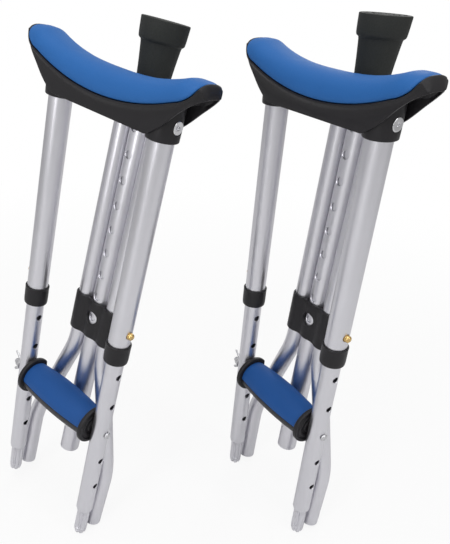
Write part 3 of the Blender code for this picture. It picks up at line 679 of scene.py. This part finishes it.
saddle = {
    "socketBottom": 471.5,
    "socketRadius": 14.6,
    "socketBore": 11.4,
    "edge": 475,
    "wall": 2,
    "halfWidth": 17,
    "rimProud": 3,
    "rimDepth": 5.5,
    "footLift": 0.8,
    "low": 490,
    "radius": 215,
    "end": 103.5,
    "hornLength": 22,
    "hornRise": (
        (0, 0), (0.4, 5.8), (0.64, 12), (0.76, 17.4), (0.83, 18.4), (0.91, 16.4), (0.97, 12.6),
        (1, 9.6),
    ),
    "edgeInset": 4.7,
    "edgeRise": ((-0.3, -10), (0, 0), (0.3, 10), (0.63, 25), (0.9, 35.6), (1, 38.2)),
    "taperRun": 18,
    "endWidth": 0.45,
    "hornRound": 5,
    "closing": 3.4,  # how far from its end the hollow starts to close
    "screwHead": 6.1,
    "rimLip": 0.5,
    "spans": (26, 30),  # sections along half of the seat, and along a horn
    # the wall's outside as (off the wall, share of its lift), then (off it, share of the rim)
    "footCurve": ((-0.7, 0), (-0.15, 0.3), (0, 1)),
    "underRim": ((0.1, 1), (0.8, 0.72)),
    # the rim as (off its edge, share of its depth)
    "rimCurve": ((-0.7, 0.42), (-0.1, 0.24), (0, 0.13), (-0.25, 0.04), (-0.8, 0)),
    "acrossSeat": (0.85, 0.7, 0.5, 0.25),
}


def curveAt(table, x):
    # A smooth curve through the table's points
    last = len(table) - 1
    for i in range(last):
        x0, z0 = table[i]
        x1, z1 = table[i + 1]
        if x <= x1 or i == last - 1:
            break
    t = min(1, max(0, (x - x0) / (x1 - x0)))
    before = table[i - 1] if i > 0 else (x0 - (x1 - x0), z0)
    after = table[i + 2] if i + 2 <= last else (x1 + (x1 - x0), z1 + (z1 - z0))
    slope0 = (z1 - before[1]) / (x1 - before[0]) * (x1 - x0)
    slope1 = (after[1] - z0) / (after[0] - x0) * (x1 - x0)
    a = 2 * z0 - 2 * z1 + slope0 + slope1
    b = -3 * z0 + 3 * z1 - 2 * slope0 - slope1
    return ((a * t + b) * t + slope0) * t + z0


def sideTaper(x):
    share = max(0, 1 - (saddle["end"] - abs(x)) / saddle["taperRun"])
    return math.sqrt(1 - (1 - saddle["endWidth"] ** 2) * min(1, share) ** 2)


def wallFoot(x):
    size = saddle
    foot = uprights["x"] - size["edgeInset"]
    share = (abs(x) - foot) / (size["end"] - foot)
    return size["edge"] + max(0, curveAt(size["edgeRise"], share))


def seatHeight(x, y=0):
    # An arc between the horns, which rise past it and fall off to their sides
    size = saddle
    start = size["end"] - size["hornLength"]
    run = min(abs(x), start)
    share = max(0, (abs(x) - start) / size["hornLength"])
    rise = size["radius"] - math.sqrt(size["radius"] ** 2 - run**2)
    half = (size["halfWidth"] + size["rimProud"]) * sideTaper(x)
    top = size["low"] + rise + curveAt(size["hornRise"], share)
    drop = min(size["hornRound"] * share, max(0, top - wallFoot(x) - 1.2) * 0.8)
    return top - drop * min(1, abs(y) / half) ** 3


def shellLoop(x, shrink=0):
    # The wall's section at x: up the outside, over the seat and back along the inside
    size = saddle
    foot = wallFoot(x) + shrink
    rim = (size["halfWidth"] + size["rimProud"]) * sideTaper(x) - shrink
    wall = size["halfWidth"] * sideTaper(x) - shrink
    thick = size["wall"] - 2 * shrink
    seat = seatHeight(x, rim) - shrink
    depth = min(size["rimDepth"], (seat - foot) * 0.5)
    lift = min(size["footLift"], (seat - foot) * 0.25)
    outer = [(wall + off, foot + lift * up) for off, up in size["footCurve"]]
    outer.append((wall, foot + (seat - depth - foot) * 0.5))
    outer += [(wall + off, seat - depth * down) for off, down in size["underRim"]]
    outer += [(rim + off, seat - depth * down) for off, down in size["rimCurve"]]
    for share in size["acrossSeat"]:
        y = (rim + size["rimCurve"][-1][0]) * share
        outer.append((y, seatHeight(x, y) - shrink))
    inner = []
    for share in reversed(size["acrossSeat"]):
        y = (wall - thick) * share
        inner.append((y, seatHeight(x, y) + shrink - size["wall"]))
    low = min(seatHeight(x, wall) + shrink - size["wall"], seat - thick)
    inner += [(wall - thick - 0.6, low - 0.3), (wall - thick, low - 1.2)]
    closed = min(1, max(0, 1 - (size["end"] - abs(x)) / size["closing"]))
    inner = [(y, z + (foot + lift - z) * closed) for y, z in inner]
    inner.append((wall - thick, foot + lift * (1 - 0.4 * closed)))
    inner.append((wall - thick + 0.15, foot + lift * 0.3))
    roof = seatHeight(x) + shrink - size["wall"]
    roof += (foot + lift - roof) * closed
    outside = outer + [(0, seatHeight(x) - shrink)] + [(-y, z) for y, z in reversed(outer)]
    inside = [(-y, z) for y, z in reversed(inner)] + [(0, roof)] + inner
    return outside, inside


def endStrip(outerIds, innerIds):
    # Closes an end between the outside and the inside; innerIds run back, and are fewer
    back = list(reversed(innerIds))
    faces = []
    i = j = 0
    while i < len(outerIds) - 1 or j < len(back) - 1:
        goOuter = (i + 1) / len(outerIds) <= (j + 1) / len(back)
        if j == len(back) - 1 or (goOuter and i < len(outerIds) - 1):
            faces.append([outerIds[i], outerIds[i + 1], back[j]])
            i += 1
        else:
            faces.append([outerIds[i], back[j + 1], back[j]])
            j += 1
    return faces


def shellMesh():
    size = saddle
    start = size["end"] - size["hornLength"]
    seatSpans, hornSpans = size["spans"]
    half = [start * i / seatSpans for i in range(seatSpans + 1)]
    half += [start + size["hornLength"] * i / hornSpans for i in range(1, hornSpans)]
    half += [size["end"] - 0.35]
    stations = [(-x, 0) for x in reversed(half[1:])] + [(x, 0) for x in half]
    stations = [(-size["end"], size["rimLip"])] + stations + [(size["end"], size["rimLip"])]
    points = []
    for x, shrink in stations:
        outside, inside = shellLoop(x, shrink)
        points += [(x, y, z) for y, z in outside + inside]
    count = len(outside) + len(inside)
    faces = quadRows(len(stations), count)
    for first in (0, len(points) - count):
        ids = range(first, first + count)
        faces += endStrip(ids[:len(outside)], ids[len(outside):])
    return cleanMesh(points, faces)


def saddleShell(side):
    size = saddle
    outer, bore, depth = size["socketRadius"], size["socketBore"], uprights["upperTop"] + fit
    foot = size["socketBottom"]
    posts = []
    cuts = []
    for word, way in ends:
        centre = way * uprights["x"]
        post = solidMesh([
            (0, foot),
            (outer - 0.2, foot, 1.3),
            (outer, foot + 8),
            (outer, size["low"] + 2),
            (0, size["low"] + 2),
        ], 72)
        for vert in post.vertices:
            if vert.co.z > (size["low"] + 1) * mm:
                x = centre + vert.co.x / mm
                y = vert.co.y / mm
                vert.co.z = (seatHeight(x, y) - size["wall"] * 0.5) * mm
        posts.append(moved(post, at(centre, 0, 0)))
        hollow = solidMesh([
            (0, foot - 5),
            (bore + 0.5, foot - 5),
            (bore + 0.5, foot),
            (bore, foot + 0.5),
            (bore, depth),
            (0, depth),
        ], 72)
        cuts.append(moved(hollow, at(centre, 0, 0)))
        sink = solidMesh([
            (0, outer * 1.4),
            (size["screwHead"] + 0.3, outer * 1.4),
            (size["screwHead"], outer - 0.7),
            (uprights["screwHole"], outer - 2.5),
            (uprights["screwHole"], uprights["outerBore"]),
            (0, uprights["outerBore"]),
        ], 48)
        cuts.append(moved(sink, at(centre, 0, uprights["screwHeight"]) @ outward(way)))
    mesh = shaped(shaped(shellMesh(), posts, "UNION"), cuts)
    name = side + "saddle_shell"
    addPiece(name, mesh, places[side]["upper"], side + "upper_frame", "black_plastic", 38)


def saddleScrew(side, word, way):
    head = saddle["socketRadius"]
    mesh = solidMesh([
        (0, head - 1.1),
        (1.5, head - 1.1, 0.15),
        (1.6, head - 0.2, 0.15),
        (3.2, head - 0.12, 0.4),
        (5.2, head - 0.05, 0.35),
        (5.75, head - 0.4, 0.15),
        (2, head - 2.2),
        (2, 6.9),
        (0, 4.9),
    ], 48)
    place = uprightPlace(side, way, uprights["screwHeight"]) @ outward(way)
    addPiece(side + word + "saddle_screw", mesh, place, side + "upper_frame", "chrome")


for side in places:
    saddleShell(side)
    for word, way in ends:
        saddleScrew(side, word, way)
print("saddles ready")

pad = {
    "thickness": 22,
    "endRise": 12.5,
    "risePower": 2.6,
    "inset": 5,
    "closing": 0.955,  # where its ends start to round off, as a share of its half length
    "endPower": 2.4,
    "least": 0.12,  # of its full section, at the very ends
    "width": 0.985,  # of the shell's rim
    "square": 2.7,  # how squarely its sides stand up
    "around": 26,
    "along": 66,
    "crowding": 1.25,  # how much closer the sections come towards the ends
    "gap": 0.35,
    "bulge": 1.8,  # most that it may swell
    "pressure": 4,
    "stiffness": 30,
    "steps": 20,
    "held": 1.2,  # how high above the seat it is glued down
    "fill": 0.9,
}


def padFloor(x, y):
    return seatHeight(x, y) + pad["gap"]


def padLoop(share):
    x = (saddle["end"] - pad["inset"]) * share
    start = saddle["end"] - saddle["hornLength"]
    past = max(0, (abs(share) - pad["closing"]) / (1 - pad["closing"]))
    size = max(pad["least"], (1 - min(1, past) ** pad["endPower"]) ** (1 / pad["endPower"]))
    crown = saddle["low"] + pad["thickness"]
    crown += pad["endRise"] * min(1.02, abs(x) / start) ** pad["risePower"]
    tall = (crown - padFloor(x, 0)) * size
    wide = (saddle["halfWidth"] + saddle["rimProud"]) * (0.5 + 0.5 * size) * pad["width"]
    wide *= sideTaper(x)
    power = 2 / pad["square"]
    loop = []
    for i in range(pad["around"] + 1):
        turn = math.pi * i / pad["around"]
        y = wide * math.copysign(abs(math.cos(turn)) ** power, math.cos(turn))
        z = max(0, math.sin(turn)) ** power * tall
        tuck = 1 - 0.02 * max(0, 1 - z / max(tall, 1) * 5)
        loop.append((x, y * tuck, padFloor(x, y) + z))
    half = pad["around"] // 2
    for i in range(1, half):
        y = wide * 0.95 * (-1 + 2 * i / half)
        loop.append((x, y, padFloor(x, y)))
    return loop


def padMesh():
    shares = []
    for i in range(pad["along"] + 1):
        t = -1 + 2 * i / pad["along"]
        shares.append(math.copysign(1 - (1 - abs(t)) ** pad["crowding"], t))
    return lofted([padLoop(share) for share in shares])


def swelled(mesh):
    # Blows the pad up a little as cloth, its underside held to the seat
    scene = bpy.context.scene
    holder = bpy.data.objects.new("holder", mesh)
    scene.collection.objects.link(holder)
    held = holder.vertex_groups.new(name="underside")
    for vert in mesh.vertices:
        floor = padFloor(vert.co.x / mm, vert.co.y / mm)
        if vert.co.z / mm < floor + pad["held"]:
            held.add([vert.index], 1, "REPLACE")
    cloth = holder.modifiers.new("stuffing", "CLOTH")
    cloth.settings.use_pressure = True
    cloth.settings.uniform_pressure_force = pad["pressure"]
    cloth.settings.vertex_group_mass = "underside"
    cloth.settings.effector_weights.gravity = 0
    cloth.settings.tension_stiffness = pad["stiffness"]
    cloth.settings.compression_stiffness = pad["stiffness"]
    for step in range(1, pad["steps"] + 1):
        scene.frame_set(step)
    graph = bpy.context.evaluated_depsgraph_get()
    seen = holder.evaluated_get(graph).data
    for vert, end in zip(mesh.vertices, seen.vertices):
        shift = end.co - vert.co
        if shift.length > pad["bulge"] * mm:
            shift = shift.normalized() * pad["bulge"] * mm
        vert.co = vert.co + shift
    bpy.data.objects.remove(holder, do_unlink=True)
    scene.frame_set(1)
    return mesh


def addPads():
    mesh = padMesh()
    mesh = swelled(mesh)
    for side in places:
        name = side + "underarm_pad"
        place = places[side]["upper"]
        piece = addPiece(name, mesh.copy(), place, side + "upper_frame", "blue_pad", 60)
        finer = piece.modifiers.new("finer", "SUBSURF")
        finer.levels = 1
        finer.render_levels = 1


addPads()
print("pads ready")

grip = {
    "half": 53.175,  # from its middle to the uprights, less the gap
    "flange": 21.5,
    "flangeThick": 5,
    "faceRings": (
        # (share of the flange, 1 where it is sunk)
        (0.36, 0), (0.39, 1), (0.52, 1), (0.55, 0), (0.66, 0), (0.69, 1), (0.8, 1), (0.83, 0),
    ),
    "ringDepth": 0.9,
    "core": 12,
    "radius": 20,
    "crown": 3,
    "sweep": 182,  # degrees of the sleeve
    "seam": 0.45,  # between the sleeve's edges and the ridge
    "sleeveEdge": 0.5,
    "back": 15.6,  # where the side that faces the folded half is cut flat
    "bolt": 3,
    "bore": 3.3,
    "thread": 0.7,
    "threadDepth": 0.35,
    "boltHead": 4.2,
    "headHeight": 2.6,
    "washer": 6.3,
    "washerThick": 1.2,
    "nut": 5.2,
    "nutHeight": 6,
    "wingSpan": 26,
    "wingThick": 3,
    "wingAround": 12,
    "wing": (
        # (share of its reach, then shares of the nut's height: how low, how tall; how thick)
        (0.5, 0.62, 0.4, 0.85), (0.66, 0.92, 0.45, 0.75), (0.8, 1.3, 0.46, 0.7),
        (0.92, 1.55, 0.38, 0.66), (1, 1.66, 0.2, 0.5),
    ),
}
gripSeat = uprights["x"] + uprights["inner"] + fit  # where the bolt's head and washer bear


def gripPlace(side, x=0):
    # The grip's Z lies along its bolt and its -X points up
    return places[side]["upper"] @ at(x, 0, uprights["gripHeight"]) @ outward(1)


def addGripPiece(side, name, mesh, slot, sharp=32):
    return addPiece(side + name, mesh, gripPlace(side), side + "mid_frame", slot, sharp)


def sweptMesh(outline, start, sweep, steps):
    # A closed (radius, height) outline swept part of the way round Z, capped at both ends
    loops = []
    for step in range(steps + 1):
        turn = start + sweep * step / steps
        loops.append([(r * math.cos(turn), r * math.sin(turn), height) for r, height in outline])
    return lofted(loops)


def barrelLine(length, steps):
    points = []
    for step in range(steps + 1):
        share = 1 - 2 * step / steps
        points.append((grip["radius"] - grip["crown"] * share**2, length / 2 * share))
    return points


def flatBack():
    # A block behind the grip, in the grip's own frame
    back, wide, deep = grip["back"], 2 * grip["flange"], 4 * grip["half"]
    square = ((-wide, back), (wide, back), (wide, wide), (-wide, wide))
    return lofted([[(x, y, z) for x, y in square] for z in (-deep, deep)])


def gripCore(side):
    size = grip
    half, inner, rim = size["half"], size["half"] - size["flangeThick"], size["flange"]
    edge = [(size["bore"], half, 0.3)]
    for share, sunk in size["faceRings"]:
        edge.append((rim * share, half - size["ringDepth"] * sunk, 0.3))
    edge += [(rim, half, 1.6), (rim, inner, 1.4), (size["core"], inner, 0.4)]
    mesh = ringMesh(edge + [(r, -z, s) for r, z, s in reversed(edge)], 72)
    sweep = math.tau - math.radians(size["sweep"]) - 2 * size["seam"] / size["radius"]
    ridge = barrelLine(2 * inner + 1, 24)
    ridge += [(size["core"] - 1, -inner - 0.5), (size["core"] - 1, inner + 0.5)]
    mesh = shaped(mesh, [sweptMesh(ridge, -sweep / 2, sweep, 28)], "UNION")
    addGripPiece(side, "grip_core", shaped(mesh, [flatBack()]), "black_plastic")


def gripSleeve(side):
    size = grip
    length = 2 * (size["half"] - size["flangeThick"] - fit)
    outline = barrelLine(length, 28)
    for end in (0, -1):
        outline[end] = outline[end] + (0.7,)
    bore = size["core"] + fit
    outline = softened(outline + [(bore, -length / 2), (bore, length / 2)])
    sweep = math.radians(size["sweep"])
    mesh = shaped(sweptMesh(outline, math.pi - sweep / 2, sweep, 56), [flatBack()])
    piece = addGripPiece(side, "grip_sleeve", mesh, "blue_grip")
    edge = piece.modifiers.new("softEdge", "BEVEL")
    edge.width = size["sleeveEdge"] * mm
    edge.segments = 3
    edge.limit_method = "ANGLE"
    edge.angle_limit = math.radians(50)


def gripBolt(side):
    size = grip
    end = gripSeat + size["washerThick"] + size["nutHeight"] + 4
    head = gripSeat + size["headHeight"]
    outline = [
        (0, head - 0.5),
        (1.6, head - 0.5, 0.2),
        (1.9, head, 0.2),
        (size["boltHead"] * 0.66, head - 0.1, 0.6),
        (size["boltHead"], gripSeat + 1.2, 0.6),
        (size["boltHead"], gripSeat, 0.2),
        (size["bolt"], gripSeat, 0.2),
        (size["bolt"], -gripSeat + 4),
    ]
    level = -gripSeat + 3.5
    while level > -end + 1.2:
        outline += [(size["bolt"] - size["threadDepth"], level)]
        outline += [(size["bolt"], level - size["thread"] / 2)]
        level -= size["thread"]
    outline += [(size["bolt"] - 0.5, -end + 0.3), (size["bolt"] - 0.8, -end), (0, -end)]
    addGripPiece(side, "grip_bolt", solidMesh(outline, 40, 3), "zinc", 25)


def gripWasher(side):
    low, high = -gripSeat, -gripSeat - grip["washerThick"]
    mesh = ringMesh([
        (grip["bore"], low, 0.15), (grip["washer"], low, 0.3),
        (grip["washer"], high, 0.3), (grip["bore"], high, 0.15),
    ], 48)
    addGripPiece(side, "grip_washer", mesh, "zinc")


def wingMesh(way):
    # One ear of the nut: a bent plate that is thick at its root and round at its end
    size = grip
    tip, high = size["wingSpan"] / 2, size["nutHeight"]
    sections = [(size["nut"] - 0.9, 0.5, 0.42, 1.0)]
    sections += [(tip * reach, low, tall, thick) for reach, low, tall, thick in size["wing"]]
    turns = [math.tau * i / size["wingAround"] for i in range(size["wingAround"])]
    loops = []
    for x, low, tall, thick in sections:
        deep = size["wingThick"] / 2 * thick
        loops.append([
            (way * x, deep * math.cos(t), high * (tall * math.sin(t) - low)) for t in turns
        ])
    return lofted(loops)


def wingNut(side):
    size = grip
    bore, high = size["bore"], size["nutHeight"]
    mesh = ringMesh([
        (bore, 0, 0.3), (size["nut"], 0, 0.4), (size["nut"], -2, 0.8),
        (size["nut"] - 0.9, -high, 0.7), (bore, -high, 0.3),
    ], 56)
    mesh = shaped(mesh, [wingMesh(1), wingMesh(-1)], "UNION")
    mesh = shaped(mesh, [solidMesh([(0, 4), (bore, 4), (bore, -high - 4), (0, -high - 4)], 40)])
    place = gripPlace(side, -gripSeat - size["washerThick"] - fit)
    addPiece(side + "wing_nut", mesh, place, side + "wing_nut_body", "zinc", 40)


for side in places:
    for build in (gripCore, gripSleeve, gripBolt, gripWasher, wingNut):
        build(side)
print("grips ready")

# The half that is folded up behind the uprights
lowerHalf = {
    "behind": 9.76,  # the bows' centre line behind the hinge
    "narrow": 21.025,  # the bows' half distance where they are straight
    "bowTop": 484,
    "bendTop": 228,
    "bendRadius": 100,
    "bendAngle": 18,  # degrees
    "bowSteps": (10, 14, 6),  # down to the bends, across each, and below them
    "bowBottom": 3.56,
    "bowLip": 0.35,
    "centreBehind": 12.16,
    "centreBottom": 72,
    "centreTop": 489.5,
    "holeTop": 459.4,
    "holePitch": 25.4,
    "holes": 9,
    "legBottom": 99,
    "legTop": 541,
    "legButton": 110.6,
}
bracket = {
    "bottom": 232.5,
    "height": 43,
    "wall": 1.9,
    "blend": 3.5,  # how softly its lobes run together
    "face": 0.7,  # how far behind the hinge its front dips between the tubes
    "around": 180,
    "window": 7.2,
    "windowRim": 0.6,
    "rivet": 1.9,
    "rivetHead": 4,
}
tip = {
    "bottom": 500,
    "step": 534,
    "neck": 15.2,
    "radius": 22,
    "bore": 9.825,
    "floor": 543.1,
    "top": 551.9,
    "facets": 9,
    "facetDepth": 0.22,
    "soleRings": (5, 10, 15),  # where each starts
    "ringWidth": 2,
    "ringDepth": 0.9,
}
rivetHeight = bracket["bottom"] + bracket["height"] / 2


def bowLine(way):
    # The centre line of a bow: straight down, an S-bend outwards, straight down
    size = lowerHalf
    bend, high, low = size["bendRadius"], size["bendTop"], size["bowBottom"]
    angle = math.radians(size["bendAngle"])
    offset = 2 * bend * (1 - math.cos(angle))
    slope = (uprights["x"] - size["narrow"] - offset) / math.sin(angle)
    above, across, below = size["bowSteps"]
    drop = high - size["bowTop"]
    points = [(size["narrow"], size["bowTop"] + drop * i / above) for i in range(above)]
    for step in range(across + 1):
        turn = angle * step / across
        aside = bend * (1 - math.cos(turn))
        points.append((size["narrow"] + aside, high - bend * math.sin(turn)))
    lastX, lastZ = points[-1]
    x = lastX + slope * math.sin(angle)
    z = lastZ - slope * math.cos(angle)
    for step in range(across + 1):
        turn = angle * (1 - step / across)
        along = bend * (math.sin(angle) - math.sin(turn))
        aside = bend * (math.cos(turn) - math.cos(angle))
        points.append((x + aside, z - along))
    endX, endZ = points[-1]
    points += [(endX, endZ + (low - endZ) * i / below) for i in range(1, below + 1)]
    return [Vector((way * px, 0, pz)) for px, pz in points]


def bowMesh(way):
    # A tube along the bow's line, its open ends slightly rounded
    line = bowLine(way)
    outer, lip = uprights["inner"], lowerHalf["bowLip"]
    sections = []
    last = len(line) - 1
    for i, spot in enumerate(line):
        along = (line[min(i + 1, last)] - line[max(i - 1, 0)]).normalized()
        if i == 0:
            sections += [(spot, along, outer - lip), (spot + along * lip, along, outer)]
        elif i == last:
            sections += [(spot - along * lip, along, outer), (spot, along, outer - lip)]
        else:
            sections.append((spot, along, outer))
    bore = uprights["innerBore"]
    sections += [(spot, along, bore) for spot, along, size in reversed(sections)]
    segments = 64
    turns = [math.tau * s / segments for s in range(segments)]
    back = Vector((0, 1, 0))
    loops = []
    for spot, along, radius in sections:
        aside = back.cross(along).normalized()
        loops.append([
            spot + (aside * math.cos(turn) + back * math.sin(turn)) * radius for turn in turns
        ])
    return lofted(loops, wrap=True)


def lowerPlace(side, x=0, behind=lowerHalf["centreBehind"], height=0):
    return places[side]["lower"] @ at(x, behind, height)


def bowTube(side, word, way):
    size = lowerHalf
    hole = holeTool(bracket["rivet"] + fit, uprights["inner"], rivetHeight, quarter)
    mesh = shaped(bowMesh(way), [moved(hole, at(way * size["narrow"], 0, 0))])
    place = lowerPlace(side, behind=size["behind"])
    addPiece(side + word + "bow_tube", mesh, place, side + "lower_frame", "satin_aluminium")


def centreTube(side):
    size = lowerHalf
    heights = [size["holeTop"] - size["holePitch"] * step for step in range(size["holes"])]
    heights.append(size["legButton"])
    holes = [(height, -quarter, uprights["holeRadius"]) for height in heights]
    outer, bore = uprights["outer"], uprights["outerBore"]
    mesh = tubeMesh(outer, bore, size["centreBottom"], size["centreTop"], holes)
    name = side + "centre_tube"
    addPiece(name, mesh, lowerPlace(side), side + "lower_frame", "satin_aluminium")


def legTube(side):
    size = lowerHalf
    hole = (size["legButton"], -quarter, uprights["holeRadius"])
    outer, bore = uprights["inner"], uprights["innerBore"]
    mesh = tubeMesh(outer, bore, size["legBottom"], size["legTop"], [hole])
    addPiece(side + "leg_tube", mesh, lowerPlace(side), side + "leg", "satin_aluminium")


def bracketBores():
    # The three tubes that the bracket holds, as (x, y, radius with the fit)
    size = lowerHalf
    bores = [(0, size["centreBehind"], uprights["outer"] + fit)]
    for way in (-1, 1):
        bores.append((way * size["narrow"], size["behind"], uprights["inner"] + fit))
    return bores


def bandOutline():
    # The outside of the band: round lobes run together, found along rays from its middle
    size = lowerHalf
    lobes = [(x, y, radius + bracket["wall"]) for x, y, radius in bracketBores()]
    # a filler each side of the middle keeps the front nearly flat
    filler = size["centreBehind"] - bracket["face"]
    for way in (-1, 1):
        lobes.append((way * size["narrow"] / 2, size["centreBehind"], filler))
    sharpness = 4 / bracket["blend"]
    middle = size["centreBehind"] - 1
    farthest, halvings = 60, 40
    rays = []
    for i in range(bracket["around"]):
        turn = math.tau * i / bracket["around"]
        near, far = 0, farthest
        for _ in range(halvings):
            half = (near + far) / 2
            x = math.cos(turn) * half
            y = middle + math.sin(turn) * half
            total = 0
            for lobeX, lobeY, radius in lobes:
                total += math.exp((radius - math.hypot(x - lobeX, y - lobeY)) * sharpness)
            near, far = (half, far) if total > 1 else (near, half)
        rays.append((turn, near))
    return middle, rays


def bowBracket(side):
    size = bracket
    bottom = size["bottom"]
    top = bottom + size["height"]
    middle, rays = bandOutline()
    levels = [(bottom, 0.6), (bottom + 0.25, 0.2), (bottom + 0.7, 0)]
    levels += [(bottom + size["height"] * i / 6, 0) for i in range(1, 6)]
    levels += [(top - 0.7, 0), (top - 0.25, 0.2), (top, 0.6)]
    loops = []
    for height, tuck in levels:
        loops.append([
            (math.cos(turn) * (far - tuck), middle + math.sin(turn) * (far - tuck), height)
            for turn, far in rays
        ])
    tools = []
    for x, y, radius in bracketBores():
        bore = solidMesh([
            (0, bottom - 4), (radius + 0.5, bottom - 4), (radius + 0.5, bottom),
            (radius, bottom + 0.5), (radius, top - 0.5), (radius + 0.5, top),
            (radius + 0.5, top + 4), (0, top + 4),
        ], 72)
        tools.append(moved(bore, at(x, y, 0)))
    mesh = shaped(lofted(loops), tools)
    half = lowerHalf
    windowAt = half["holeTop"] - half["holePitch"] * (half["holes"] - 1)
    surface = uprights["outer"] + fit + size["wall"]
    window = holeTool(size["window"], surface, windowAt, -quarter, size["windowRim"], 48)
    cuts = [moved(window, at(0, half["centreBehind"], 0))]
    surface = uprights["inner"] + fit + size["wall"]
    for way in (-1, 1):
        hole = holeTool(size["rivet"] + fit, surface, rivetHeight, quarter)
        cuts.append(moved(hole, at(way * half["narrow"], half["behind"], 0)))
    name, place = side + "bow_bracket", places[side]["lower"]
    addPiece(name, shaped(mesh, cuts), place, side + "lower_frame", "black_plastic")


def bracketRivet(side, word, way):
    size = bracket
    seat = uprights["inner"] + fit + size["wall"] + fit
    inner = uprights["innerBore"] - 2.5
    mesh = solidMesh([
        (0, seat + 1.3),
        (size["rivetHead"] * 0.55, seat + 1.15, 0.8),
        (size["rivetHead"], seat + 0.35, 0.5),
        (size["rivetHead"], seat, 0.15),
        (size["rivet"], seat, 0.15),
        (size["rivet"], inner, 0.3),
        (0, inner),
    ], 40)
    place = lowerPlace(side, way * lowerHalf["narrow"], lowerHalf["behind"], rivetHeight)
    place = place @ Matrix.Rotation(-quarter, 4, "X")
    addPiece(side + word + "bracket_rivet", mesh, place, side + "lower_frame", "zinc")


def faceted(angle, radius, height):
    # The neck's faint flats
    if radius < tip["bore"] + 1 or height > tip["step"]:
        return 0
    return -tip["facetDepth"] * (1 - abs(math.cos(tip["facets"] * angle / 2)))


def rubberTip(side):
    size = tip
    wide, neck, step = size["radius"], size["neck"], size["step"]
    top, bottom = size["top"], size["bottom"]
    sunk = top - size["ringDepth"]
    outline = [(0, top)]
    for ring in size["soleRings"]:
        end = ring + size["ringWidth"]
        outline += [(ring, top), (ring + 0.3, sunk), (end - 0.3, sunk), (end, top)]
    outline += [
        (wide, top, 1.1),
        (wide * 0.965, step + 5, 3),
        (wide * 0.94, step + 0.9, 1.1),
        (neck + 3.4, step - 0.6, 0.5),
        (neck + 2.9, step - 3, 2),
        (neck + 1.4, (bottom + step) / 2, 3),
        (neck + 0.1, bottom + 1.5, 1),
        (neck - 0.9, bottom, 0.7),
        (size["bore"], bottom, 0.4),
        (size["bore"], size["floor"]),
        (0, size["floor"]),
    ]
    mesh = solidMesh(outline, 108, 3, faceted)
    addPiece(side + "rubber_tip", mesh, lowerPlace(side), side + "leg", "black_rubber")


for side in places:
    for word, way in ends:
        bowTube(side, word, way)
        bracketRivet(side, word, way)
    for build in (centreTube, legTube, bowBracket, rubberTip):
        build(side)
    place = lowerPlace(side, height=lowerHalf["legButton"]) @ Matrix.Rotation(quarter, 4, "X")
    snapButton(side, "leg_", place, side + "leg_button", uprights["outer"], "chrome")
print("lower halves ready")

# Solids inside the tubes stay as they are, with a better finish; by how the names end
insideFinish = {"button_spring": "spring_steel", "tip_washer": "zinc"}
for name, node in frame["nodes"].items():
    for ending, slot in insideFinish.items():
        if name.endswith(ending):
            node.data.materials.clear()
            node.data.materials.append(materials[slot])
print("inside solids finished")
